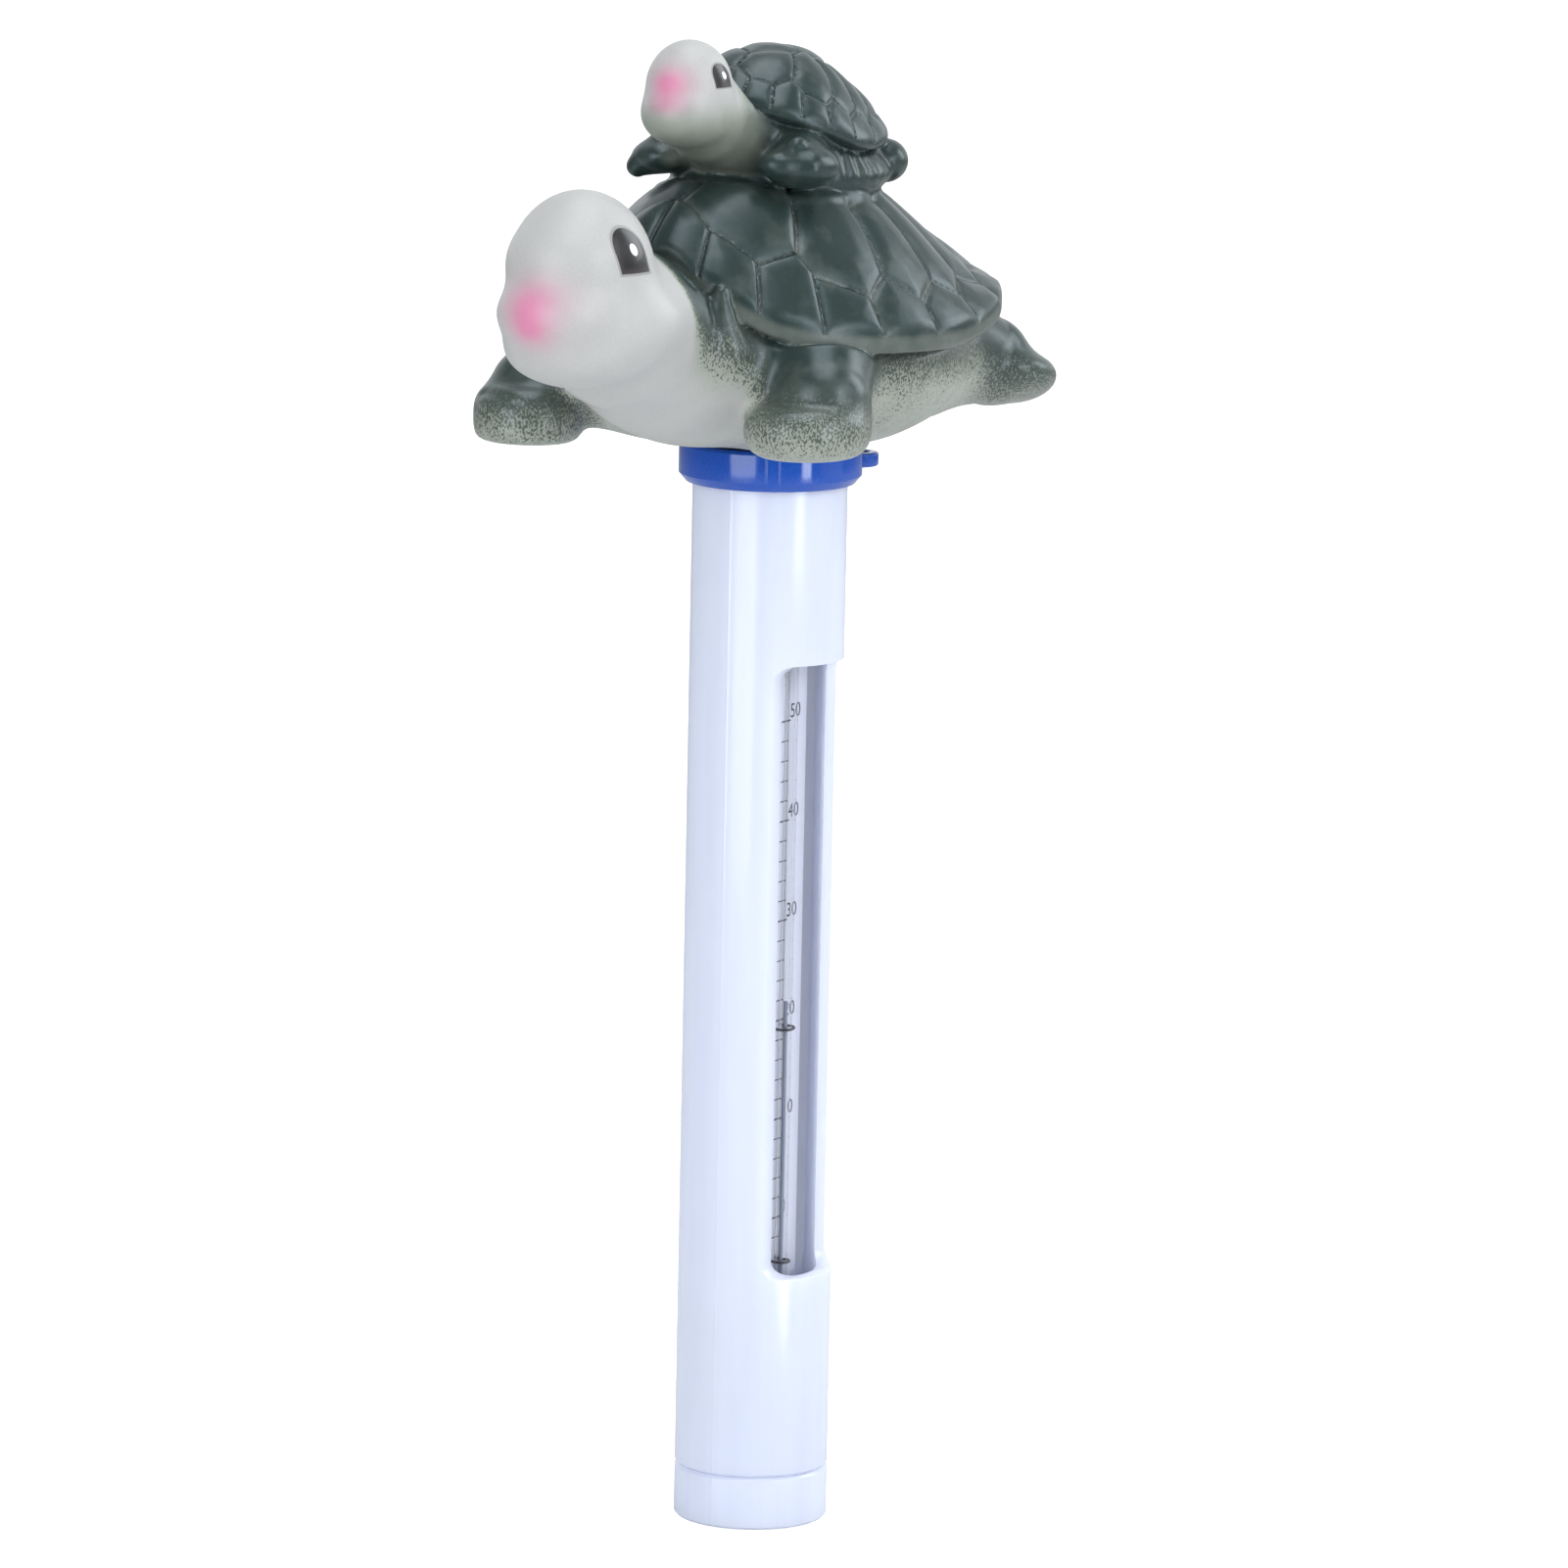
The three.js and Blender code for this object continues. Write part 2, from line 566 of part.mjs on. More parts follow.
place('spirit_column', closedSurface(spiritColumn()), material(0x8d99b8, 0.2));
for (const [name, height] of Object.entries(CLIP_HEIGHTS)) {
  place(name, closedSurface(clip(height)), material(0x30343a, 0.4, 0.8));
}
place('sealing_washer', closedSurface(sealingWasher()), greyRubber());
place('screw_collar', screwCollar(), bluePlastic());
place('float_plug', closedSurface(floatPlug()), bluePlastic());
place('plug_screw', plugScrew(), steel());
place('turtle_figure', turtleFigure(), material(0x566862, 0.55));

export default thermometer;
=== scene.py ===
"""Looks of the floating pool thermometer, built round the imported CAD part.

Lengths are millimetres in the part's frame, and become metres when a mesh is made. The origin is the centre
of the base, +Z is up along the tube, the turtle faces -Y, and the reading window faces +X, which is the
turtle's left. Only the floor and the lights are given in metres.
"""

from math import cos, pi, radians, remainder, sin, tan
from types import SimpleNamespace

import bmesh
import bpy
import numpy as np
from mathutils import Matrix, Vector


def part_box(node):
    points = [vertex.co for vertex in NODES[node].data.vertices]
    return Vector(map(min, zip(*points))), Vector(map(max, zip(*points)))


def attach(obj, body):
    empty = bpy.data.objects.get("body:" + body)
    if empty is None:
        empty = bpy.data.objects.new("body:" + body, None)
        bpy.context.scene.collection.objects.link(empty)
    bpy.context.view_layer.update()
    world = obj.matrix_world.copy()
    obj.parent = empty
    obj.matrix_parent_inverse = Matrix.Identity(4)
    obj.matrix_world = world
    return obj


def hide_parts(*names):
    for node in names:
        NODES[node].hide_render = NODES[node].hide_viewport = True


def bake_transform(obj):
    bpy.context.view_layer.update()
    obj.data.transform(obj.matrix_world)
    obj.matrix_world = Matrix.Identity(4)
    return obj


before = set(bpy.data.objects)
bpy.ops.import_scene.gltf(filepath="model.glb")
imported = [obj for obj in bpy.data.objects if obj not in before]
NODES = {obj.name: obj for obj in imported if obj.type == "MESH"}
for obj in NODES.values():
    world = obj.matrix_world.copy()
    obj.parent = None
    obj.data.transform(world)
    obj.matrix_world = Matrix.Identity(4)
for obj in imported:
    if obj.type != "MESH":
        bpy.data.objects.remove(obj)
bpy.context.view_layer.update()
MM = 0.001


def mm_box(node):
    """Lowest and highest corner of a CAD node, in millimetres."""
    low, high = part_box(node)
    return low / MM, high / MM


# ---- driving dimensions

_, CASING_HIGH = mm_box("casing_tube")
_, CAP_HIGH = mm_box("end_cap")
COLLAR_LOW, COLLAR_HIGH = mm_box("screw_collar")
_, PLATE_HIGH = mm_box("scale_plate")
STEM_LOW, STEM_HIGH = mm_box("capillary_tube")
COLUMN_LOW, COLUMN_HIGH = mm_box("spirit_column")
FIGURE_LOW, FIGURE_HIGH = mm_box("turtle_figure")

TUBE_R = CASING_HIGH.y
WALL = 2.2
BORE_R = TUBE_R - WALL
CAP_TOP = 7.6  # joint between the end cap and the casing
JOINT_CHAMFER = 0.45
SHOULDER_Z = 150.8
NECK_R = 10.2
SPIGOT_R = BORE_R - 0.15  # leaves a small gap to the casing
BALLAST_BORE_R = 6.6
CAP_FLOOR = 2.4
SEAM_PROUD = 0.05  # height of the moulded parting line along the casing
SEAM_HALF_WIDTH = 0.16

WINDOW_X = 6.26  # plane of the milled window rim
WINDOW_Z = (36.5, 125.0)
WINDOW_FILLET = 2.5

COLLAR_R = 13.0
COLLAR_BORE_R = 11.25
COLLAR_WEB_Z = 154.2
COLLAR_CHAMFER = 1.2
COLLAR_EDGE = 0.45
SCREW_HOLE_R = 1.8
COLLAR_RIBS = (27.6, 35.8)  # degrees round from -Y of the two fine mould lines
RIB_PROUD = 0.07
LUG_ANGLE = 153
LUG_REACH = 14.5
LUG_R = 3.2
LUG_HOLE_R = 1.5
LUG_Z = (151.4, 153.4)

PLATE_FACE_X = PLATE_HIGH.x
STEM_X = (STEM_LOW.x + STEM_HIGH.x) / 2
ZERO_Z = 43.8  # height of the 0 degree mark
DEGREE = 1.44  # length of one degree on the scale
MAJOR_TICK = (-3.4, 1.6, 0.11)  # ends across the plate, and half the line's width
MINOR_TICK = (-2.6, 1.1, 0.075)
INK = 0.03  # thickness of a printed mark
NUMERAL_HEIGHT = 2.05
FONT_SIZE = NUMERAL_HEIGHT * 1.42  # a digit is 0.7 of its font's size high
CLIP_WIRE_R = 0.2
CLIP_SLANT = 0.09  # the middle clip sits a little askew

VINYL = 2.0
NECK_HOLE_R = 8.15
FLANGE_ROOM = (11.9, 4.6)  # radius and height of the room for the plug's flange

GRID = 0.5  # size of the figure's surface cells
PAINT_LAYERS = ("paint", "blush", "line", "spatter")  # values stored at the figure's vertices
FAR_LINE = 5.0  # stands for "no scute line near"

# Painted eyes: centre, azimuth, half width, height, lean, and the glint's place and radius.
EYES = (
    ((9.2, -54.6, 187.9), 76, 2.9, 6.1, 13, (0.55, 0.3, 0.7)),
    ((5.6, -25.1, 209.4), 76, 1.8, 3.3, 11, (0.45, 0.1, 0.45)),
)

CAMERA_AZIMUTH = 30.0  # degrees round from -Y towards +X
CAMERA_DISTANCE = 1284.167
CAMERA_HEIGHT = 326.827
CAMERA_PITCH = 9.7346
CAMERA_ROLL = 1.1617
CAMERA_YAW = 0.126
CAMERA_LENS = 210.33
CAMERA_SENSOR = 36.0

# Soft lights: direction (right, away and up from the camera's side), distance, width, height, power.
LIGHTS = {
    "top": ((0.05, 0.0, 1.0), 0.9, 0.9, 0.5, 4.4),
    "left": ((-0.56, -0.83, 0.15), 0.7, 0.42, 0.84, 3.75),
    "right": ((0.72, -0.69, 0.15), 0.7, 0.14, 0.84, 2.6),
    "front_right": ((0.75, -0.35, 0.55), 0.8, 0.3, 0.3, 0.6),
    "side": ((0.95, -0.1, 0.1), 0.8, 0.5, 0.8, 0.5),
    "back_right": ((0.85, 0.35, 0.5), 0.9, 0.35, 0.5, 2.4),
}
DAYLIGHT = (0.93, 0.965, 1.0)
ROOM = 0.27  # brightness of the surroundings on the camera's side
BACKDROP = 1.0
HORIZON_GLOW = 1.1  # extra brightness of the surroundings where the camera sees them
FLOOR_GLOW = 0.9  # the same for the floor
LIGHT_AIM = 0.12  # height that the lights point at


# ---- meshes

def added(name, data):
    """A new object in the scene."""
    piece = bpy.data.objects.new(name, data)
    bpy.context.scene.collection.objects.link(piece)
    return piece


def shaded(mesh, sharp_angle):
    """Smooth shading, except across edges sharper than an angle in degrees."""
    mesh.shade_smooth()
    mesh.set_sharp_from_angle(angle=radians(sharp_angle))


def mesh_object(name, vertices, faces, smooth=True, sharp_angle=None):
    """A mesh object from vertices in millimetres."""
    mesh = bpy.data.meshes.new(name)
    places = (np.asarray(vertices, float) * MM).tolist()
    mesh.from_pydata(places, [], [list(map(int, face)) for face in faces])
    mesh.validate()
    mesh.update()
    if sharp_angle:
        shaded(mesh, sharp_angle)
    elif smooth:
        mesh.shade_smooth()
    return added(name, mesh)


def frozen(piece, sharp_angle=35):
    """Turns a piece with modifiers, or a text or curve piece, into a plain mesh of the same name."""
    bpy.context.view_layer.update()
    depsgraph = bpy.context.evaluated_depsgraph_get()
    mesh = bpy.data.meshes.new_from_object(piece.evaluated_get(depsgraph))
    matrix, name = piece.matrix_world.copy(), piece.name
    bpy.data.objects.remove(piece)
    mesh.transform(matrix)
    shaded(mesh, sharp_angle)
    return added(name, mesh)


def joined(name, pieces):
    """One mesh object holding several mesh pieces."""
    vertices, faces, start = [], [], 0
    for piece in pieces:
        vertices += [piece.matrix_world @ v.co / MM for v in piece.data.vertices]
        faces += [[start + i for i in p.vertices] for p in piece.data.polygons]
        start = len(vertices)
        bpy.data.objects.remove(piece)
    return mesh_object(name, vertices, faces, sharp_angle=35)


def revolved(name, outline, angles):
    """Revolves a closed outline of (radius, height) about Z. A radius may be a function of the angle."""
    rings = [[(r(a) if callable(r) else r, z) for r, z in outline] for a in angles]
    vertices = [(r * sin(a), -r * cos(a), z) for a, ring in zip(angles, rings) for r, z in ring]
    count, faces = len(outline), []
    for i in range(len(angles)):
        here, there = i * count, (i + 1) % len(angles) * count
        for j in range(count):
            k = (j + 1) % count
            faces.append((here + j, there + j, there + k, here + k))
    return clean(mesh_object(name, vertices, faces))


def clean(piece):
    """Merges points that fell together on the axis, turns the normals outwards and smooths the shading."""
    work = bmesh.new()
    work.from_mesh(piece.data)
    bmesh.ops.remove_doubles(work, verts=work.verts, dist=1e-7)
    bmesh.ops.recalc_face_normals(work, faces=work.faces)
    work.to_mesh(piece.data)
    work.free()
    shaded(piece.data, 30)
    return piece


def extruded(name, outline, low, high, along_y=False):
    """A prism: an outline of points closed by two flat ends, along Z or along Y."""
    count = len(outline)
    vertices = [(u, w, v) if along_y else (u, v, w) for w in (low, high) for u, v in outline]
    faces = [list(range(count))[::-1], list(range(count, 2 * count))]
    faces += [(i, (i + 1) % count, count + (i + 1) % count, count + i) for i in range(count)]
    return clean(mesh_object(name, vertices, faces))


def arc(cx, cy, radius, start, end, steps):
    """Points of an arc, angles in degrees, both ends included."""
    turns = np.radians(np.linspace(start, end, steps + 1))
    return [(cx + radius * cos(t), cy + radius * sin(t)) for t in turns]


def combined(piece, other, operation):
    """Boolean of two pieces; the other one is used up."""
    modifier = piece.modifiers.new(operation, "BOOLEAN")
    modifier.operation, modifier.solver, modifier.object = operation, "EXACT", other
    result = frozen(piece)
    bpy.data.objects.remove(other)
    return result


def softened(piece, width, angle=40, segments=2):
    """Rounds the sharp edges of a piece."""
    modifier = piece.modifiers.new("edges", "BEVEL")
    modifier.width, modifier.segments = width * MM, segments
    modifier.limit_method, modifier.angle_limit = "ANGLE", radians(angle)
    return frozen(piece)


def covered(piece, material):
    """Gives a piece its material."""
    piece.data.materials.clear()
    piece.data.materials.append(material)


def placed(piece, material, body, slot, *replaced):
    """Finishes a piece: its material, its body and the CAD nodes it stands for. The slot is not used."""
    covered(piece, material)
    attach(piece, body)
    if replaced:
        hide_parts(*replaced)


# ---- node materials

class Nodes:
    """A node tree being built. Its methods add nodes and return output sockets."""

    def __init__(self, owner):
        owner.use_nodes = True
        self.tree = owner.node_tree

    def add(self, kind, values=None, **settings):
        node = self.tree.nodes.new(kind)
        for key, value in settings.items():
            setattr(node, key, value)
        for key, value in (values or {}).items():
            self.feed(node.inputs[key], value)
        return node

    def feed(self, socket, value):
        if isinstance(value, bpy.types.NodeSocket):
            self.tree.links.new(value, socket)
        else:
            socket.default_value = (*value, 1.0) if socket.type == "RGBA" else value

    def maths(self, operation, *values):
        return self.add("ShaderNodeMath", dict(enumerate(values)), operation=operation).outputs[0]

    def plus(self, a, b):
        return self.maths("ADD", a, b)

    def minus(self, a, b):
        return self.maths("SUBTRACT", a, b)

    def times(self, a, b):
        return self.maths("MULTIPLY", a, b)

    def vector(self, operation, *values, output="Vector"):
        node = self.add("ShaderNodeVectorMath", dict(enumerate(values)), operation=operation)
        return node.outputs[output]

    def step(self, value, low, high, start=0.0, end=1.0):
        """Smooth step of a value from low to high, mapped to start and end."""
        limits = {"Value": value, "From Min": low, "From Max": high, "To Min": start, "To Max": end}
        return self.add("ShaderNodeMapRange", limits, interpolation_type="SMOOTHSTEP").outputs[0]

    def mix(self, share, a, b):
        """Colour mix: a where share is 0, b where it is 1."""
        node = self.add("ShaderNodeMix", data_type="RGBA")
        for socket, value in zip((node.inputs[0], node.inputs[6], node.inputs[7]), (share, a, b)):
            self.feed(socket, value)
        return node.outputs[2]


class Shader(Nodes):
    """A node material being built on Blender's principled surface."""

    def __init__(self, name):
        self.material = bpy.data.materials.new(name)
        super().__init__(self.material)
        self.surface = self.tree.nodes["Principled BSDF"]
        self.position = self.add("ShaderNodeTexCoord").outputs["Object"]

    def noise(self, size, detail=2.0, stretch=(1, 1, 1)):
        """Noise with features of about the given size in millimetres, 0 to 1."""
        spread = self.vector("MULTIPLY", self.position, tuple(s / (size * MM) for s in stretch))
        values = {"Vector": spread, "Scale": 1.0, "Detail": detail}
        return self.add("ShaderNodeTexNoise", values).outputs["Fac"]

    def attribute(self, name):
        return self.add("ShaderNodeAttribute", attribute_name=name).outputs["Fac"]

    def bump(self, height, distance, strength=1.0, normal=None):
        values = {"Height": height, "Distance": distance * MM, "Strength": strength}
        if normal:
            values["Normal"] = normal
        return self.add("ShaderNodeBump", values).outputs[0]

    def set(self, **values):
        for key, value in values.items():
            self.feed(self.surface.inputs[key.replace("_", " ")], value)
        return self.material


def white_plastic():
    """Glossy bluish white moulding with faint flow marks along its length, and a faint painted glow."""
    mat = Shader("white_plastic")
    flow = mat.noise(3, 3, stretch=(1, 1, 0.06))
    ripple = mat.noise(9, 1)
    return mat.set(
        Base_Color=mat.mix(mat.step(flow, 0.3, 0.7), (0.67, 0.71, 0.85), (0.70, 0.74, 0.87)),
        Roughness=mat.step(flow, 0.2, 0.8, 0.16, 0.24),
        Normal=mat.bump(ripple, 0.12, 0.15),
        Emission_Color=(0.62, 0.68, 1.0),  # painted glow that stands in for light coming through the thin wall
        Emission_Strength=0.09,
        Subsurface_Weight=0.6,
        Subsurface_Scale=5 * MM,
        Subsurface_Radius=(1.0, 1.0, 1.0),
    )


def blue_plastic():
    """Glossy royal blue moulding with a faint lengthwise ripple."""
    mat = Shader("blue_plastic")
    ripple = mat.noise(2.2, 2, stretch=(1, 1, 0.1))
    dust = mat.noise(0.5, 4)
    haze = mat.step(dust, 0.35, 0.75)
    return mat.set(
        Base_Color=mat.mix(haze, (0.004, 0.068, 0.43), (0.006, 0.082, 0.47)),
        Roughness=mat.step(dust, 0.3, 0.8, 0.08, 0.14),
        Normal=mat.bump(ripple, 0.1, 0.35),
        Specular_IOR_Level=0.65,
    )


def clear_glass(name, tint, edge_tint, shine):
    """Thin glass: see-through when faced, tinted and reflecting towards its edges."""
    mat = Shader(name)
    facing = mat.add("ShaderNodeLayerWeight", {"Blend": 0.35}).outputs["Facing"]
    streaks = mat.noise(1.2, 2, stretch=(1, 1, 0.05))
    edge = mat.times(facing, mat.step(streaks, 0.2, 0.8, 0.75, 1.0))
    colour = mat.mix(edge, tint, edge_tint)
    clear = mat.add("ShaderNodeBsdfTransparent", {"Color": colour})
    gloss = mat.add("ShaderNodeBsdfGlossy", {"Color": (1, 1, 1), "Roughness": 0.06})
    share = mat.times(mat.add("ShaderNodeFresnel", {"IOR": 1.4}).outputs[0], shine)
    both = mat.add("ShaderNodeMixShader", {0: share, 1: clear.outputs[0], 2: gloss.outputs[0]})
    mat.feed(mat.tree.nodes["Material Output"].inputs["Surface"], both.outputs[0])
    return mat.material


def printed_card():
    """Satin white strip of the scale."""
    mat = Shader("scale_card")
    fibre = mat.noise(0.6, 4, stretch=(1, 1, 0.3))
    colour = mat.mix(fibre, (0.85, 0.87, 0.99), (0.90, 0.92, 1.0))
    return mat.set(Base_Color=colour, Roughness=0.45, Normal=mat.bump(fibre, 0.02, 0.3))


def print_ink():
    """Thin dark ink with slightly uneven density."""
    mat = Shader("print_ink")
    density = mat.noise(0.25, 3)
    colour = mat.mix(mat.step(density, 0.3, 0.8), (0.02, 0.02, 0.035), (0.07, 0.07, 0.1))
    return mat.set(Base_Color=colour, Roughness=0.5)


def spirit_liquid():
    """Grey-blue spirit."""
    mat = Shader("spirit")
    swirl = mat.noise(0.8, 2, stretch=(1, 1, 0.1))
    colour = mat.mix(swirl, (0.27, 0.31, 0.42), (0.34, 0.38, 0.48))
    return mat.set(Base_Color=colour, Roughness=0.12, Coat_Weight=0.4)


def metal(name, dark, light, roughness, grain, stretch):
    """Turned or drawn metal with fine grain."""
    mat = Shader(name)
    lines = mat.noise(grain, 3, stretch=stretch)
    return mat.set(
        Base_Color=mat.mix(lines, dark, light),
        Metallic=1.0,
        Roughness=mat.step(lines, 0.2, 0.8, roughness, roughness + 0.15),
        Normal=mat.bump(lines, 0.02, 0.4),
    )


def rubber():
    """Matte black rubber with a dusty bloom."""
    mat = Shader("rubber")
    bloom = mat.noise(2.5, 4)
    grain = mat.noise(0.25, 2)
    colour = mat.mix(mat.step(bloom, 0.4, 0.75), (0.022, 0.023, 0.025), (0.055, 0.055, 0.058))
    return mat.set(Base_Color=colour, Roughness=0.78, Normal=mat.bump(grain, 0.05, 0.5))


def foam():
    """Closed-cell foam with small pores, with painted shade in them."""
    mat = Shader("foam")
    cells = {"Vector": mat.position, "Scale": 1600.0}
    pore = mat.add("ShaderNodeTexVoronoi", cells).outputs["Distance"]
    # painted shade: the colour is darker in the pores, where the bump dips
    colour = mat.mix(mat.step(pore, 0.1, 0.6), (0.60, 0.58, 0.53), (0.78, 0.77, 0.72))
    return mat.set(Base_Color=colour, Roughness=0.9, Normal=mat.bump(pore, 0.15, 0.7))


def eye(mat, centre, azimuth, half_width, height, lean, glint):
    """Shares of a painted eye, its lower rim, outline and glint. It is an arch with a flat foot."""
    maths, plus, minus, times = mat.maths, mat.plus, mat.minus, mat.times
    x, y, z = mat.add("ShaderNodeSeparateXYZ", {0: mat.position}).outputs
    turn = radians(azimuth)
    side = minus(maths("ABSOLUTE", x), centre[0] * MM)
    along = minus(y, centre[1] * MM)
    across = plus(times(side, cos(turn) / MM), times(along, sin(turn) / MM))
    outward = minus(times(side, sin(turn) / MM), times(along, cos(turn) / MM))
    up = times(minus(z, centre[2] * MM), 1 / MM)
    across = plus(across, times(up, tan(radians(lean))))
    near = mat.step(outward, -0.6 * height, -0.5 * height)

    def oval(*spans):
        shares = [maths("ABSOLUTE", maths("DIVIDE", span, half)) for span, half in spans]
        return maths("SQRT", plus(*(maths("POWER", share, 2.0) for share in shares)))

    dome = oval((across, half_width), (maths("MAXIMUM", up, 0.0), height * 0.53))
    foot = maths("DIVIDE", minus(times(dome, dome), up), height * 0.47 + 1)
    below = maths("DIVIDE", times(up, -1.0), height * 0.47)
    shape = maths("MAXIMUM", dome, maths("MAXIMUM", below, foot))
    inside = times(near, mat.step(shape, 0.985, 1.015, 1.0, 0.0))
    rim = times(inside, mat.step(shape, 0.62, 0.97))
    lower_rim = times(rim, mat.step(up, -0.35 * height, 0.1 * height, 1.0, 0.25))
    outline = times(near, minus(mat.step(shape, 1.0, 1.03), mat.step(shape, 1.05, 1.16)))
    glint_across, glint_up, radius = glint
    bright = oval((minus(across, glint_across), radius), (minus(up, glint_up), radius * 1.2))
    return inside, lower_rim, outline, times(near, mat.step(bright, 0.9, 1.06, 1.0, 0.0))


def painted_vinyl():
    """Off-white vinyl, sprayed dark green with a speckled edge, with pink muzzles and painted eyes. The
    scute lines carry painted shade, with a painted highlight beside them.
    """
    mat = Shader("painted_vinyl")
    paint, blush, line, spatter = (mat.attribute(name) for name in PAINT_LAYERS)
    # groove: share of painted shade along the scute lines, which are carved grooves
    groove = mat.step(line, 0.05, 0.34, 1.0, 0.0)
    # painted highlight: a lighter band beside each scute line
    ridge_highlight = mat.minus(mat.step(line, 0.3, 0.7), mat.step(line, 0.7, 1.8))
    cloud = mat.noise(4.0, 3)
    mist = mat.step(mat.noise(0.16, 1), 0.3, 0.7)

    amount = mat.plus(paint, mat.times(mat.minus(cloud, 0.5), 0.3))
    sparse = mat.maths("MULTIPLY_ADD", amount, -0.36, 0.655)
    drops = mat.minus(mat.noise(0.27, 3, stretch=(1, 1, 0.6)), sparse)
    strength = mat.times(mat.step(amount, 0.1, 0.35, 0.0, 0.9), spatter)
    dots = mat.times(mat.step(drops, 0.0, 0.08), strength)
    even = mat.maths("MINIMUM", mat.maths("MAXIMUM", amount, 0.0), 1.0)
    even = mat.maths("POWER", even, mat.maths("MULTIPLY_ADD", spatter, 0.5, 1.0))
    coverage = mat.maths("MAXIMUM", dots, mat.times(even, 0.97))

    skin = mat.mix(mist, (0.47, 0.465, 0.45), (0.52, 0.515, 0.50))
    skin = mat.mix(mat.step(paint, 0.0, 0.4, 0.0, 0.75), skin, (0.39, 0.43, 0.35))
    skin = mat.mix(mat.times(blush, 0.95), skin, (0.68, 0.23, 0.38))
    green = mat.mix(cloud, (0.006, 0.019, 0.017), (0.012, 0.029, 0.027))
    # painted highlight along the edge of each scute line
    green = mat.mix(mat.times(ridge_highlight, 0.2), green, (0.07, 0.10, 0.105))
    # painted shade: darker green in the scute lines
    green = mat.mix(groove, green, (0.006, 0.013, 0.013))
    green = mat.mix(mat.step(paint, 0.55, 0.95, 0.8, 0.0), green, (0.040, 0.055, 0.040))
    colour = mat.mix(coverage, skin, green)

    gloss = mat.step(coverage, 0.2, 1.0, 0.45, 0.28)
    grain = mat.bump(mist, 0.02, 0.25)
    orange_peel = mat.bump(mat.noise(0.8, 2), 0.05, 0.2, normal=grain)
    carved = mat.bump(mat.step(line, 0.0, 0.5), 0.25, 0.8, normal=orange_peel)

    glazed = []
    for values in EYES:
        inside, rim, outline, glint = eye(mat, *values)
        colour = mat.mix(outline, colour, (0.30, 0.30, 0.30))
        pupil = mat.mix(rim, (0.004, 0.004, 0.005), (0.040, 0.032, 0.030))
        colour = mat.mix(inside, colour, pupil)
        colour = mat.mix(glint, colour, (0.9, 0.93, 0.95))
        gloss = mat.plus(mat.times(gloss, mat.minus(1.0, inside)), mat.times(inside, 0.3))
        glazed.append(inside)

    return mat.set(
        Base_Color=colour,
        Roughness=gloss,
        Normal=carved,
        Specular_Tint=mat.mix(coverage, (1, 1, 1), (0.80, 0.93, 1.0)),
        Coat_Weight=mat.times(mat.maths("MAXIMUM", *glazed), 0.2),
        Coat_Roughness=0.08,
        Subsurface_Weight=mat.step(coverage, 0.1, 0.6, 0.25, 0.0),
        Subsurface_Scale=2.5 * MM,
        Subsurface_Radius=(1.0, 0.95, 0.9),
    )


# ---- distance fields of the sculpted figure

def smooth_min(a, b, k):
    h = np.clip(0.5 + 0.5 * (b - a) / k, 0, 1)
    return b + (a - b) * h - k * h * (1 - h)


def smooth_max(a, b, k):
    return -smooth_min(-a, -b, k)


def merged(field, *others):
    """Joins fields one after another, each with its own softness."""
    for other, softness in others:
        field = smooth_min(field, other, softness)
    return field


def ramp(low, high, x):
    """Smooth rise from 0 at low to 1 at high."""
    t = np.clip((x - low) / (high - low), 0, 1)
    return t * t * (3 - 2 * t)


def turned(points, centre, pitch=0.0, yaw=0.0):
    """Points seen from a centre, turned by a yaw about Z and then a pitch about X, in degrees."""
    local = points - np.array(centre, float)
    for angle, (i, j) in ((yaw, (0, 1)), (pitch, (1, 2))):
        if angle:
            s, c = sin(radians(angle)), cos(radians(angle))
            a, b = local[:, i].copy(), local[:, j].copy()
            local[:, i], local[:, j] = c * a + s * b, -s * a + c * b
    return local


def ellipsoid(points, centre, radii, pitch=0.0, yaw=0.0):
    local = turned(points, centre, pitch, yaw)
    radii = np.array(radii, float)
    reach = np.sqrt(((local / radii) ** 2).sum(1))
    steepness = np.sqrt(((local / radii**2) ** 2).sum(1)) + 1e-9
    return reach * (reach - 1) / steepness


def limb(points, start, end, start_radius, end_radius):
    """A tapering rod with round ends."""
    start, end = np.array(start, float), np.array(end, float)
    span = end - start
    share = np.clip((points - start) @ span / (span @ span), 0, 1)
    away = points - start - share[:, None] * span
    return np.sqrt((away**2).sum(1)) - (start_radius + (end_radius - start_radius) * share)


def mirror(points):
    flipped = points.copy()
    flipped[:, 0] = np.abs(flipped[:, 0])
    return flipped


MOTHER_SHELL = SimpleNamespace(
    centre=(0.3, 0.4), half_width=30.3, half_length=36.0, rim=174.5, height=23.6, bow=1.7, front=11.8,
    front_width=0.47, rear=3.2, slope=1.45, lip=3.1, groove=0.5, line=0.5, puff=0.5, shingle=0.08, tuck=1.2,
    bulge=1.3, hollow=2.5,
)
BABY_SHELL = SimpleNamespace(
    centre=(0.0, 0.0), half_width=15.4, half_length=17.5, rim=0.0, height=12.5, bow=2.1, front=2.0,
    front_width=0.75, rear=3.8, slope=1.3, lip=1.6, groove=0.36, line=0.36, puff=0.3, shingle=0.08,
    tuck=0.7, bulge=0.9, hollow=0.0,
)
BABY_AT = (0.0, -1.0, 199.3)
BABY_PITCH = -17.0  # degrees, nose up

# Scutes as (degrees round from the front, share of the way out to the rim); both sides carry them.
COSTALS = ((21, 0.68), (56, 0.69), (80, 0.69), (98, 0.69), (117, 0.70), (138, 0.70), (160, 0.71))
MARGINALS = ((7, 1.02), (22, 1.03), (39, 1.02), (54.5, 1.03), (71, 1.02), (88, 1.02), (106, 1.02),
             (125, 1.02), (144, 1.01), (162, 1.01), (180, 1.01))
VERTEBRALS = ((0, 0.42), (0, 0.0), (180, 0.34), (180, 0.66))


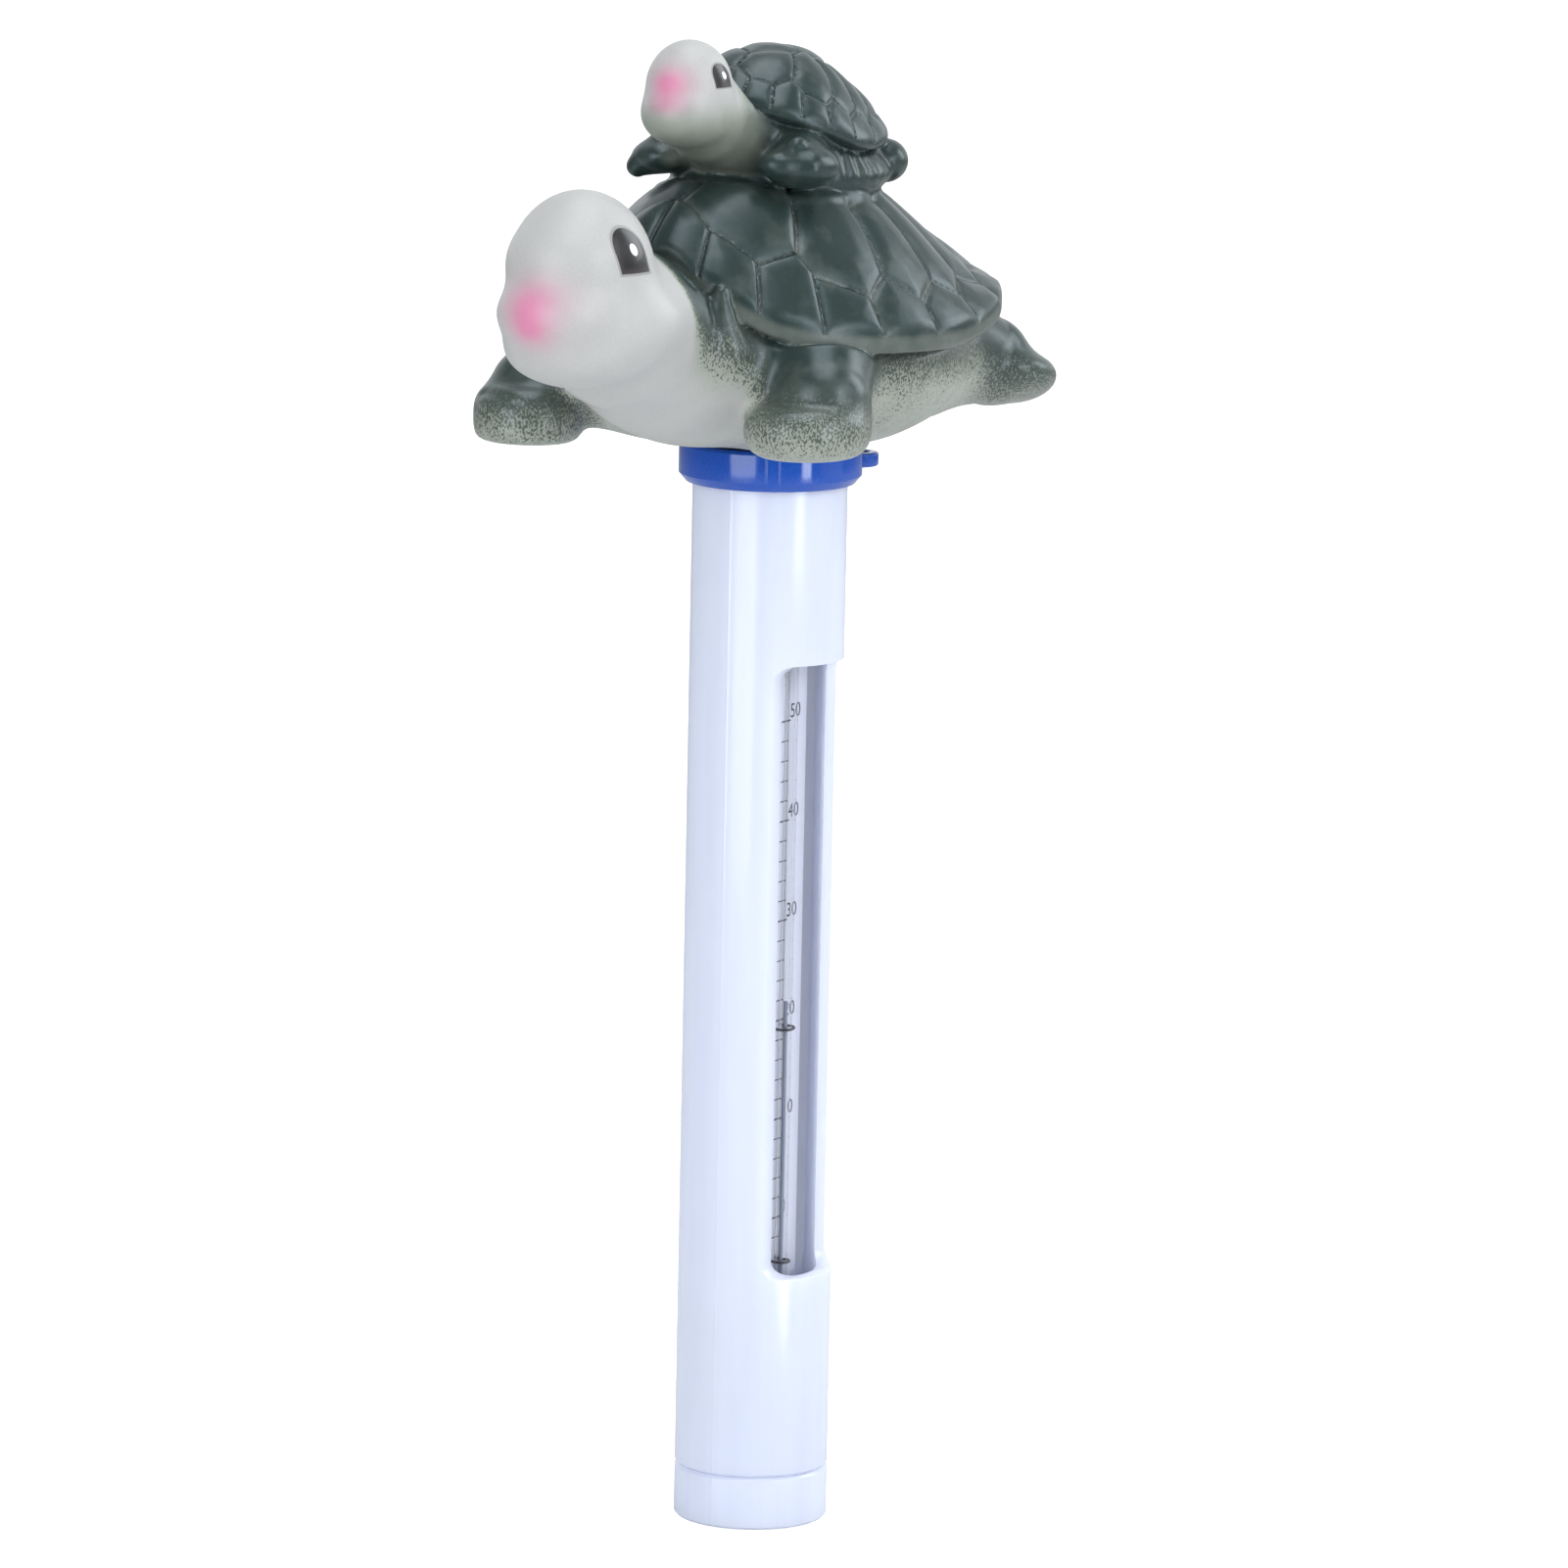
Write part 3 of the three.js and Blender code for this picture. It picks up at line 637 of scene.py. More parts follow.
def scute_seeds(shell):
    """Plan positions of the scutes' centres."""
    seeds = []
    for angle, share in COSTALS + MARGINALS + VERTEBRALS:
        turn = radians(angle)
        for side in (1, -1):
            x = side * share * sin(turn) * shell.half_width
            seed = (round(x, 4) + 0.0, -share * cos(turn) * shell.half_length)
            if seed not in seeds:
                seeds.append(seed)
    return np.array(seeds)


def scute_relief(shell, x, y):
    """Height added to a shell by its scutes, and the distance to the nearest line between scutes."""
    seeds = scute_seeds(shell)
    ring = np.hypot(x / shell.half_width, y / shell.half_length)
    y = y - shell.bulge * np.sin(np.pi * np.clip((ring - 0.4) / 0.4, 0, 1))
    squares = (x[:, None] - seeds[:, 0]) ** 2 + (y[:, None] - seeds[:, 1]) ** 2
    around = np.argpartition(squares, 4, axis=1)[:, :5]
    squares = np.take_along_axis(squares, around, 1)
    near = around[np.arange(len(x)), squares.argmin(1)]
    gap = np.linalg.norm(seeds[around] - seeds[near][:, None], axis=2)
    edge = (squares - squares.min(1)[:, None]) / np.maximum(2 * gap, 0.001)
    edge = np.where(gap > 0, edge, FAR_LINE).min(1)
    groove = np.exp(-((edge / shell.line) ** 2))
    puff = ramp(0, 3.5, edge / shell.line / 2) * shell.puff
    tilt = shell.shingle * (y - seeds[near, 1])
    return puff + tilt - shell.groove * groove, edge


def shell_height(shell, x, y):
    """Height of a plain shell above its plan, and the share of the way out to the rim."""
    u = (x - shell.centre[0]) / shell.half_width
    v = (y - shell.centre[1]) / shell.half_length
    share = np.sqrt(u * u + v * v)
    dome = shell.height * (1 - np.clip(share, 0, 1.3) ** shell.bow)
    front = shell.front * ramp(0.2, 1.0, share) * np.exp(-((u / shell.front_width) ** 2))
    rear = shell.rear * ramp(-0.15, 0.85, v) * ramp(0.3, 1, share)
    rear = rear - shell.hollow * ramp(-0.2, 0.5, v) * np.sin(np.pi * np.clip(share, 0, 1) ** 2.2)
    return shell.rim + dome + front * ramp(0.0, -0.6, v) + rear, share


def rim_near(shell, x, y):
    """Share of the way out to the rim, height of the rim there, and distance beyond it in plan."""
    cx, cy = shell.centre
    _, share = shell_height(shell, x, y)
    out = np.maximum(share, 0.3)
    rim, _ = shell_height(shell, cx + (x - cx) / out, cy + (y - cy) / out)
    return share, rim, (share - 1) * min(shell.half_width, shell.half_length)


def shell_field(shell, points):
    """Distance to a domed shell with scutes and a thick lip, and the distance to its scute lines."""
    x, y, z = points.T
    top, _ = shell_height(shell, x, y)
    share, rim, outside = rim_near(shell, x, y)
    line = np.full(len(points), FAR_LINE)
    relief = np.zeros(len(points))
    close = np.abs(z - top) < 3.5
    if close.any():
        cx, cy = shell.centre
        relief[close], line[close] = scute_relief(shell, x[close] - cx, y[close] - cy)
    fade = ramp(1.03, 0.98, share)
    above = (z - top - relief * fade) / shell.slope
    under = (rim - shell.lip - z) * 0.9
    body = smooth_max(above, outside, 0.6)
    return smooth_max(body, under, 0.9), np.where(z < top - 0.9, FAR_LINE, line)


def tucked(distance, shell, points):
    """Keeps a body field under the lip of its shell, so that the lip stands clear over it."""
    x, y, z = points.T
    _, rim, outside = rim_near(shell, x, y)
    return smooth_max(distance, (z - rim + shell.lip - np.maximum(outside, 0)) * 0.7, shell.tuck)


def creased(distance, points, creases):
    """Cuts soft creases into a field. Each crease is a chain of points, a radius and a depth."""
    for chain, radius, depth in creases:
        for start, end in zip(chain, chain[1:]):
            groove = limb(points, start, end, 0.0, 0.0)
            distance = distance + depth * np.exp(-((groove / radius) ** 2))
    return distance


MOTHER_CREASES = (
    (((10.0, -35.3, 181.2), (10.9, -35.8, 179.0), (11.7, -36.2, 176.4)), 0.5, 0.5),
    (((10.6, -31.4, 183.0), (12.3, -32.2, 179.6), (13.8, -32.4, 176.6)), 0.6, 0.6),
    (((8.4, -39.8, 183.6), (9.6, -38.4, 181.8)), 0.5, 0.35),
    (((18.2, -35.6, 163.6), (20.6, -36.2, 165.4), (24.4, -35.2, 166.6), (27.4, -32.0, 166.4)), 0.7, 0.35),
    (((-17.5, -36.5, 162.2), (-21.0, -37.5, 163.6), (-26.4, -34.6, 164.0)), 0.7, 0.4),
    (((-9.0, -50.2, 170.4), (0.0, -54.0, 168.9), (9.0, -50.2, 170.4)), 0.6, 0.3),
)


def mother_head(points):
    head = ellipsoid(points, (0, -52.6, 183.8), (10.1, 10.4, 11.8))
    brow = ellipsoid(points, (0, -57.6, 186.2), (7.4, 6.2, 5.2))
    muzzle = ellipsoid(points, (0, -59.2, 179.2), (8.2, 7.0, 5.6))
    jowl = ellipsoid(points, (0, -49.0, 177.2), (12.8, 12.3, 8.6))
    chin = ellipsoid(points, (0, -54.8, 173.8), (9.0, 8.4, 4.8))
    return merged(head, (brow, 2.0), (muzzle, 2.2), (smooth_min(jowl, chin, 2.5), 3.0))


def pad(points, centre, radii, edge, yaw=0.0):
    """A flat-topped oval block with rounded edges."""
    local = turned(points, centre, 0.0, yaw)
    plan = (np.hypot(local[:, 0] / radii[0], local[:, 1] / radii[1]) - 1) * min(radii[:2])
    return smooth_max(plan, np.abs(local[:, 2]) - radii[2], edge)


def leg(points, thigh, foot, radii, yaw, crease, pitch=None):
    """A leg that runs into a foot: a flat-soled block, or a rounded flipper where a pitch is given."""
    flat = pitch is None
    end = pad(points, foot, radii, 4.2, yaw) if flat else ellipsoid(points, foot, radii, pitch, yaw)
    return smooth_min(limb(points, *thigh), end, crease)


MOTHER_LEGS = (  # the thigh as two ends and two radii, then the foot's centre, radii, yaw and crease
    (((18.5, -20, 170), (22.9, -25.8, 165.6), 8.5, 6.8), (22.4, -28.8, 162.0), (8.4, 9.3, 3.8), -15, 1.4),
    (((-18.5, -20, 169.5), (-22.6, -27, 163.8), 8.5, 6.4), (-22.4, -29.2, 160.5), (7.6, 8.4, 4.7), 15, 1.4),
)
MOTHER_REAR_LEG = (
    ((17, 19, 168.5), (20.6, 25, 166.4), 9.0, 6.4), (22.6, 28.2, 163.9), (6.8, 8.8, 3.7), 35, 2.0, -16,
)


def mother_body(points):
    sides = mirror(points)
    body = merged(
        ellipsoid(points, (0, 1, 168.3), (27.0, 32, 14.2)),
        (ellipsoid(points, (0, -24, 169.8), (18, 15, 11)), 5),
        (limb(points, (0, -24, 172), (0, -42, 176), 12.0, 11.5), 5),
        *((leg(points, *values), 3) for values in MOTHER_LEGS),
        (leg(sides, *MOTHER_REAR_LEG), 3),
        (limb(sides, (20, -25, 164.4), (9, -15, 163.4), 4.6, 6.8), 2.5),
    )
    floor = 155.9 + 0.035 * np.maximum(0, -8 - points[:, 1])
    body = merged(
        smooth_max(tucked(body, MOTHER_SHELL, points), floor - points[:, 2], 1.4),
        (limb(points, (0, 29, 167.2), (0, 37.8, 164.8), 4.4, 1.9), 2.5),  # tail
        (limb(sides, (11.0, -33.4, 180.6), (13.0, -33.4, 172.6), 0.9, 1.4), 2.4),  # fold of the neck
    )
    return creased(body, points, MOTHER_CREASES)


def baby_head(points):
    return merged(
        ellipsoid(points, (0, -24.5, 207.4), (6.0, 6.2, 6.7)),
        (ellipsoid(points, (0, -28.0, 204.0), (4.8, 4.0, 3.7)), 1.8),
        (ellipsoid(points, (0, -23.5, 203.6), (6.3, 6.5, 4.6)), 2.5),
    )


BABY_FRONT_LEG = (
    ((7.8, -8.5, 198.0), (10.4, -12.6, 197.4), 4.6, 3.6), (11.1, -13.8, 196.6), (5.3, 5.4, 3.3),
    -15, 1.0, 0,
)
BABY_REAR_LEG = (
    ((8, 8, 195.5), (10.0, 11.8, 195.2), 3.7, 2.9), (10.6, 12.8, 195.2), (3.0, 4.2, 3.0), 35, 1.0, 0,
)


def baby_front_feet(points):
    """A paw with toes on the left, and a slimmer, pointed flipper on the right."""
    paws = mirror(points - (0.8, 0, 0))
    left = points[:, 0] > 0
    toes = merged(
        ellipsoid(paws, (9.4, -18.2, 196.8), (2.3, 1.9, 1.8)),
        (ellipsoid(paws, (13.6, -16.0, 196.8), (2.1, 1.9, 1.8)), 0.4),
        (ellipsoid(paws, (11.8, -16.0, 198.9), (1.5, 2.0, 2.0)), 0.8),
    )
    tip = limb(points, (-8.4, -11.5, 198.4), (-13.4, -15.6, 195.0), 4.2, 1.6)
    paw = leg(paws, *BABY_FRONT_LEG) + np.where(left, 0.0, 1.0)
    return smooth_min(paw, np.where(left, toes, tip), 0.9)


def baby_body(points):
    x, y, z = points.T
    tipped = turned(points, BABY_AT, BABY_PITCH)
    around = np.arctan2(x, -y)
    away = np.degrees(np.abs(around))
    flank = ramp(58, 70, away) * ramp(122, 108, away)
    folds = 0.15 * flank * np.cos(around * 38)
    body = ellipsoid(tipped, (0, 0, -3.0), (13.2, 15.5, 6.5))
    body = smooth_min(body, ellipsoid(points, (0, 1, 194.0), (15.5, 15.5, 5.0)), 3)
    body = merged(
        body - folds * ramp(193, 195, z) * ramp(200, 198.5, z),
        (limb(points, (0, -10, 201), (0, -19, 203.0), 7.5, 6.5), 3),
        (pad(points, (0, -3.5, 188.0), (14.9, 16.2, 4.2), 1.2), 1.2),
        (baby_front_feet(points), 1.2),
    )
    return smooth_min(tucked(body, BABY_SHELL, tipped), leg(mirror(points), *BABY_REAR_LEG), 1.0)


def figure_parts(points):
    """Distances to the parts of the figure, and the distances to the scute lines of both shells."""
    shell, line = shell_field(MOTHER_SHELL, points)
    baby_shell, baby_line = shell_field(BABY_SHELL, turned(points, BABY_AT, BABY_PITCH))
    parts = {
        "shell": shell, "body": mother_body(points), "head": mother_head(points),
        "baby_shell": baby_shell, "baby_body": baby_body(points), "baby_head": baby_head(points),
    }
    return parts, line, baby_line


def figure_field(points):
    """Distance to the whole figure, with the belly opening and the room for the plug cut out."""
    parts, _, _ = figure_parts(points)
    mother = merged(parts["body"], (parts["head"], 2.0), (parts["shell"], 0.5))
    baby = merged(parts["baby_body"], (parts["baby_head"], 1.5), (parts["baby_shell"], 0.4))
    whole = smooth_min(mother, baby, 1.0)
    round_z = np.hypot(points[:, 0], points[:, 1])
    above = points[:, 2] - (FIGURE_LOW.z + VINYL)
    opening = np.maximum(round_z - NECK_HOLE_R, above - 1)
    room = np.maximum(round_z - FLANGE_ROOM[0], np.maximum(-above, above - FLANGE_ROOM[1]))
    return np.maximum(whole, -np.minimum(opening, room))


def gradient(field, points, reach=0.12):
    """Gradient of a field from four probes at the corners of a tetrahedron."""
    corners = np.array([(1, 1, 1), (1, -1, -1), (-1, 1, -1), (-1, -1, 1)], float)
    return sum(corner * field(points + corner * reach)[:, None] for corner in corners) / (4 * reach)


def lattice(axes):
    """Points of a grid given by the positions along its three axes."""
    return np.stack(np.meshgrid(*axes, indexing="ij"), -1)


CELL_CORNERS = [(i, j, k) for i in (0, 1) for j in (0, 1) for k in (0, 1)]


def sampled(field, low, shape, step):
    """Field values on a grid, exact near the surface and only of the right sign elsewhere."""
    high = np.array(low) + np.array(shape) * step
    coarse, fine = 8 * step, 2 * step
    points = lattice([np.arange(a, b + coarse, coarse) for a, b in zip(low, high)])
    grid = field(points.reshape(-1, 3)).reshape(points.shape[:3])
    for axis in range(3):
        grid = np.repeat(grid, 8, axis=axis)
    grid = np.roll(grid, (-4, -4, -4), (0, 1, 2))[: shape[0], : shape[1], : shape[2]]
    grid = np.where(grid < 0, -9.0, 9.0)
    blocks = lattice([np.arange(a, b, coarse) + coarse / 2 for a, b in zip(low, high)]).reshape(-1, 3)
    blocks = blocks[np.abs(field(blocks)) < 1.2 * coarse]  # the ones that the surface may pass through
    steps = (np.arange(4) + 0.5) * fine - coarse / 2
    centres = (blocks[:, None] + lattice([steps] * 3).reshape(-1, 3)).reshape(-1, 3)
    distance = field(centres)
    side = np.where(distance < 0, -9.0, 9.0)
    corner = np.rint((centres - fine / 2 - low) / step).astype(int)
    near = np.abs(distance) < 2.2 * fine
    for offset in CELL_CORNERS:
        at = corner + offset
        kept = (at < shape).all(1) & (at >= 0).all(1)
        far, close = kept & ~near, kept & near
        grid[tuple(at[far].T)] = side[far]
        grid[tuple(at[close].T)] = field(np.array(low) + at[close] * step)
    return grid


def surface_net(grid, low, step):
    """Vertices and quads of the zero surface of a grid, one vertex for each cell it passes through."""
    inside = grid < 0
    shape = np.array(grid.shape) - 1
    count = np.zeros(shape, np.int8)
    for i, j, k in CELL_CORNERS:
        count += inside[i:i + shape[0], j:j + shape[1], k:k + shape[2]]
    cells = np.argwhere((count > 0) & (count < 8))
    total, crossings = np.zeros((len(cells), 3)), np.zeros(len(cells))
    for start in CELL_CORNERS:
        for axis in range(3):
            if start[axis]:
                continue
            end = tuple(1 if n == axis else s for n, s in enumerate(start))
            a = grid[tuple((cells + start).T)]
            b = grid[tuple((cells + end).T)]
            cross = (a < 0) != (b < 0)
            share = np.where(cross, a / np.where(cross, a - b, 1), 0)
            point = np.array(start, float) + share[:, None] * (np.array(end) - np.array(start))
            total += point * cross[:, None]
            crossings += cross
    vertices = np.array(low) + step * (cells + total / crossings[:, None])
    number = np.full(tuple(shape), -1)
    number[tuple(cells.T)] = np.arange(len(cells))
    quads, unit = [], np.eye(3, dtype=int)
    for axis in range(3):
        u, v = (axis + 1) % 3, (axis + 2) % 3
        first = inside.take(range(shape[axis]), axis)
        edges = np.argwhere(first != inside.take(range(1, shape[axis] + 1), axis))
        across = edges[:, (u, v)]
        edges = edges[((across > 0) & (across < shape[[u, v]])).all(1)]
        ring = [edges - unit[u] - unit[v], edges - unit[v], edges, edges - unit[u]]
        quad = np.stack([number[tuple(cell.T)] for cell in ring], 1)
        flip = ~first[tuple(edges.T)]
        quad[flip] = quad[flip][:, ::-1]
        quads.append(quad)
    return vertices, np.concatenate(quads)


# Airbrushed pink spots on both muzzles: strength, centre and radii.
BLUSH = (
    (0.85, (0, -65.0, 181.3), (4.2, 5, 3.0)), (0.9, (0, -64.6, 177.8), (3.0, 5, 2.4)),
    (1.1, (0.3, -30.6, 208.3), (2.7, 4, 2.2)), (0.5, (0.6, -31.5, 205.4), (2.4, 4, 1.2)),
)


def figure_paint(points):
    """The PAINT_LAYERS at points of the figure: green paint, pink blush, distance to a line, spatter."""
    x, y, z = points.T
    parts, line, baby_line = figure_parts(points)
    nearest = np.argmin(np.stack(list(parts.values())), 0)
    part = {name: nearest == i for i, name in enumerate(parts)}

    inner = 13.5 - 3.5 * ramp(165.5, 162, z)
    legs = ramp(inner, inner + 5, np.abs(x)) * ramp(12, 19, np.abs(y - 1))
    sole = 2.5 * (x < 0) * (y < 0)  # the right front foot hangs lower
    chest = 4.0 * ramp(-22, -34, y) * (1 - legs)
    sides = ramp(158.5 + chest - (6.5 + sole) * legs, 176.0 + chest - (4.5 + sole) * legs, z)
    fade = 1.5 + 3.0 * ramp(180, 170, z)
    neck = ramp(-40.5 - fade, -40.5 + fade, y + 0.25 * (z - 177))
    body = np.maximum(sides, 0.05 + 0.25 * ramp(-36, -20, y)) * np.maximum(neck, legs)
    top, _ = shell_height(MOTHER_SHELL, x, y)
    head = 0.9 * ramp(-45, -39, y) * ramp(174, 183, z)
    throat = 0.4 * ramp(-13, -18, y) * ramp(9, 6, np.abs(x)) * ramp(191, 194, z)
    baby_face = np.clip(ramp(-21.5, -17.0, y) + ramp(208.5, 198, z), 0, 1) * (1 - throat)
    paint = np.select(
        [part["shell"], part["body"], part["head"], part["baby_shell"], part["baby_body"]],
        [1 - 0.18 * ramp(top - 0.1, top - 1.3, z), body, head, np.ones(len(x)), baby_face],
        baby_face,
    )
    blush = sum(strength * spot(points, centre, radii) for strength, centre, radii in BLUSH)
    line = np.where(part["shell"], line, np.where(part["baby_shell"], baby_line * 1.4, FAR_LINE))
    spatter = np.where(part["body"] | part["head"], 1.0, np.where(part["shell"], 0.3, 0.0))
    return paint, np.clip(blush, 0, 1), line, spatter


def spot(points, centre, radii):
    """A soft airbrushed spot."""
    return np.exp(-(((points - np.array(centre)) / np.array(radii)) ** 2).sum(1))


def turtle():
    """The hollow vinyl figure: the mother turtle with her young on her back, one moulding."""
    margin = 2 * GRID
    low = np.array(FIGURE_LOW) - margin - 1.5
    shape = tuple(np.ceil((np.array(FIGURE_HIGH) + 3 - low) / GRID).astype(int))
    vertices, quads = surface_net(sampled(figure_field, low, shape, GRID), low, GRID)
    slope = gradient(figure_field, vertices)
    move = figure_field(vertices)[:, None] * slope / ((slope**2).sum(1)[:, None] + 0.2)
    vertices = vertices - np.clip(move, -0.3, 0.3)
    piece = mesh_object("turtle", vertices, quads)
    points = np.array([v.co for v in piece.data.vertices]) / MM
    for name, values in zip(PAINT_LAYERS, figure_paint(points)):
        layer = piece.data.attributes.new(name, "FLOAT", "POINT")
        layer.data.foreach_set("value", values.astype(np.float32))
    placed(piece, painted_vinyl(), "collar", "painted_vinyl", "turtle_figure")


# ---- casing

def ring_angles(marks, clearance, offsets, segments=160):
    """Even angles of a round piece in radians, with a few closer ones instead at each mark."""
    angles = list(np.linspace(0, 2 * pi, segments, endpoint=False))
    for mark in marks:
        angles = [a for a in angles if abs(remainder(a - mark, 2 * pi)) > clearance]
        angles += [(mark + offset) % (2 * pi) for offset in offsets]
    return sorted(angles)


def seam_angles():
    width = SEAM_HALF_WIDTH / TUBE_R
    return ring_angles((0, pi), 1.6 * width, [k * width for k in (-1, -0.4, 0, 0.4, 1)])


def with_seam(radius):
    """A radius that stands proud at the front and rear parting lines."""
    def at(angle):
        away = min(abs(remainder(angle - seam, 2 * pi)) for seam in (0, pi)) * TUBE_R
        return radius + SEAM_PROUD * max(0.0, 1 - away / SEAM_HALF_WIDTH)
    return at


def casing_tube():
    """White tube with the milled reading window and the neck for the collar."""
    low, chamfer, edge = CAP_TOP + 0.05, JOINT_CHAMFER, 0.3
    outline = [
        (BORE_R, low), (TUBE_R - chamfer, low), (with_seam(TUBE_R), low + chamfer),
        (with_seam(TUBE_R), SHOULDER_Z - edge), (TUBE_R - edge, SHOULDER_Z), (NECK_R, SHOULDER_Z),
        (NECK_R, CASING_HIGH.z - 0.3), (NECK_R - 0.3, CASING_HIGH.z), (BORE_R, CASING_HIGH.z),
    ]
    tube = revolved("casing", outline, seam_angles())
    far = TUBE_R + 4
    centre_x = WINDOW_X + WINDOW_FILLET
    cutter = [(far, WINDOW_Z[0]), (far, WINDOW_Z[1])]
    cutter += arc(centre_x, WINDOW_Z[1] - WINDOW_FILLET, WINDOW_FILLET, 90, 180, 12)
    cutter += arc(centre_x, WINDOW_Z[0] + WINDOW_FILLET, WINDOW_FILLET, 180, 270, 12)
    cutter = extruded("window_cutter", cutter, -2 * TUBE_R, 2 * TUBE_R, along_y=True)
    tube = combined(tube, cutter, "DIFFERENCE")
    placed(softened(tube, 0.18), white_plastic_material, "casing", "white_casing", "casing_tube")


def end_cap():
    """Closed base plug with the V groove at its joint."""
    edge, chamfer = 0.4, JOINT_CHAMFER
    outline = [
        (0, 0), (TUBE_R - edge, 0), (with_seam(TUBE_R), edge), (with_seam(TUBE_R), CAP_TOP - chamfer),
        (TUBE_R - chamfer, CAP_TOP), (SPIGOT_R, CAP_TOP), (SPIGOT_R, CAP_HIGH.z),
        (BALLAST_BORE_R, CAP_HIGH.z), (BALLAST_BORE_R, CAP_FLOOR), (0, CAP_FLOOR),
    ]
    cap = revolved("base_cap", outline, seam_angles())
    placed(softened(cap, 0.12, 25), white_plastic_material, "casing", "white_casing", "end_cap")


# ---- collar

def with_ribs(radius):
    """A radius that stands proud at the two fine mould lines."""
    def at(angle):
        return radius + RIB_PROUD * any(abs(angle - radians(rib)) < 0.006 for rib in COLLAR_RIBS)
    return at


def cord_lug():
    """Rounded tab with a hole for the cord."""
    root = COLLAR_BORE_R + 0.6
    outline = [(root, -LUG_R)] + arc(LUG_REACH, 0, LUG_R, -90, 90, 24) + [(root, LUG_R)]
    tab = extruded("tab", outline, *LUG_Z)
    hole = extruded("hole", arc(LUG_REACH + 0.3, 0, LUG_HOLE_R, 0, 345, 23), LUG_Z[0] - 1, LUG_Z[1] + 1)
    tab = softened(combined(tab, hole, "DIFFERENCE"), 0.35, 40, 3)
    tab.matrix_world = Matrix.Rotation(radians(LUG_ANGLE - 90), 4, "Z")
    bpy.context.view_layer.update()
    return tab


def screw_collar():
    """Blue collar with its web, its mould lines and the cord lug."""
    top, low = COLLAR_HIGH.z, COLLAR_LOW.z
    outline = [
        (SCREW_HOLE_R, COLLAR_WEB_Z), (COLLAR_BORE_R, COLLAR_WEB_Z), (COLLAR_BORE_R, low),
        (COLLAR_R - 1, low), (with_ribs(COLLAR_R), low + COLLAR_CHAMFER),
        (with_ribs(COLLAR_R), top - COLLAR_EDGE), (COLLAR_R - COLLAR_EDGE, top), (SCREW_HOLE_R, top),
    ]
    angles = ring_angles(map(radians, COLLAR_RIBS), 0.012, (-0.01, -0.004, 0.004, 0.01))
    ring = softened(revolved("ring", outline, angles), 0.2, 25, 3)
    collar = joined("collar", [ring, cord_lug()])
    placed(collar, blue_plastic_material, "collar", "blue_plastic", "screw_collar")


# ---- thermometer insert

BOX_FACES = ((0, 1, 3, 2), (4, 6, 7, 5), (0, 4, 5, 1), (2, 3, 7, 6), (0, 2, 6, 4), (1, 5, 7, 3))


def scale_marks():
    """Tick marks: one for each 2 degrees, a longer one for each 10 degrees, and one below zero."""
    x = PLATE_FACE_X + 0.005
    vertices, faces = [], []
    for degree in range(-2, 51, 2):
        start, end, half = MINOR_TICK if degree % 10 else MAJOR_TICK
        z = ZERO_Z + degree * DEGREE
        faces += [tuple(i + len(vertices) for i in face) for face in BOX_FACES]
        vertices += [(u, v, w) for u in (x, x + INK) for v in (start, end) for w in (z - half, z + half)]
    return mesh_object("ticks", vertices, faces, smooth=False)


def numeral(text, y, z):
    """A printed number that reads from +X, its lower left corner at y and z."""
    curve = bpy.data.curves.new("numeral" + text, "FONT")
    curve.body, curve.size, curve.extrude = text, FONT_SIZE * MM, 0.012 * MM
    piece = added("numeral" + text, curve)
    facing = Matrix(((0, 0, 1, 0), (1, 0, 0, 0), (0, 1, 0, 0), (0, 0, 0, 1)))
    piece.matrix_world = Matrix.Translation(Vector((PLATE_FACE_X + 0.02, y, z)) * MM) @ facing
    return frozen(piece)


def scale_print():
    """Tick marks, the numbers 0 to 50 and the letter of the unit."""
    numerals = [numeral(str(d), 1.45, ZERO_Z + d * DEGREE + 0.35) for d in range(0, 51, 10)]
    unit = numeral("C", -3.9, ZERO_Z + 53 * DEGREE + 1.6)
    marks = joined("scale_print", [scale_marks(), unit] + numerals)
    marks.data.shade_flat()
    placed(marks, print_ink(), "casing", "scale_card")


def tube_along(name, path, radius, sides=14):
    """A round wire swept along a chain of points."""
    path = np.array(path, float)
    ahead = np.gradient(path, axis=0)
    ahead /= np.linalg.norm(ahead, axis=1)[:, None]
    across = np.cross(ahead, (0.0, 0.0, 1.0))
    across /= np.linalg.norm(across, axis=1)[:, None]
    up = np.cross(across, ahead)
    turns = np.linspace(0, 2 * pi, sides, endpoint=False)
    spokes = np.cos(turns)[:, None] * across[:, None] + np.sin(turns)[:, None] * up[:, None]
    rings = path[:, None] + radius * spokes
    last = (len(path) - 1) * sides
    faces = []
    for i in range(0, last, sides):
        for j in range(sides):
            k = (j + 1) % sides
            faces.append((i + j, i + k, i + k + sides, i + j + sides))
    faces += [range(sides)[::-1], range(last, last + sides)]
    return clean(mesh_object(name, rings.reshape(-1, 3), faces))


def wire_clip(node, material):
    """Dark wire staple that holds the capillary to the scale."""
    low, high = mm_box(node)
    z = (low.z + high.z) / 2
    radius = high.y - CLIP_WIRE_R
    loop = [(STEM_X + x, y) for x, y in arc(0, 0, radius, -90, 90, 28)]
    legs_x = np.linspace(low.x, STEM_X, 6)[:-1]
    path = [(x, -radius) for x in legs_x] + loop + [(x, radius) for x in legs_x[::-1]]
    slant = CLIP_SLANT if node == "clip_middle" else 0.0
    points = [(x, y, z + slant * y) for x, y in path]
    placed(tube_along(node + "_wire", points, CLIP_WIRE_R), material, "casing", "clip_wire", node)


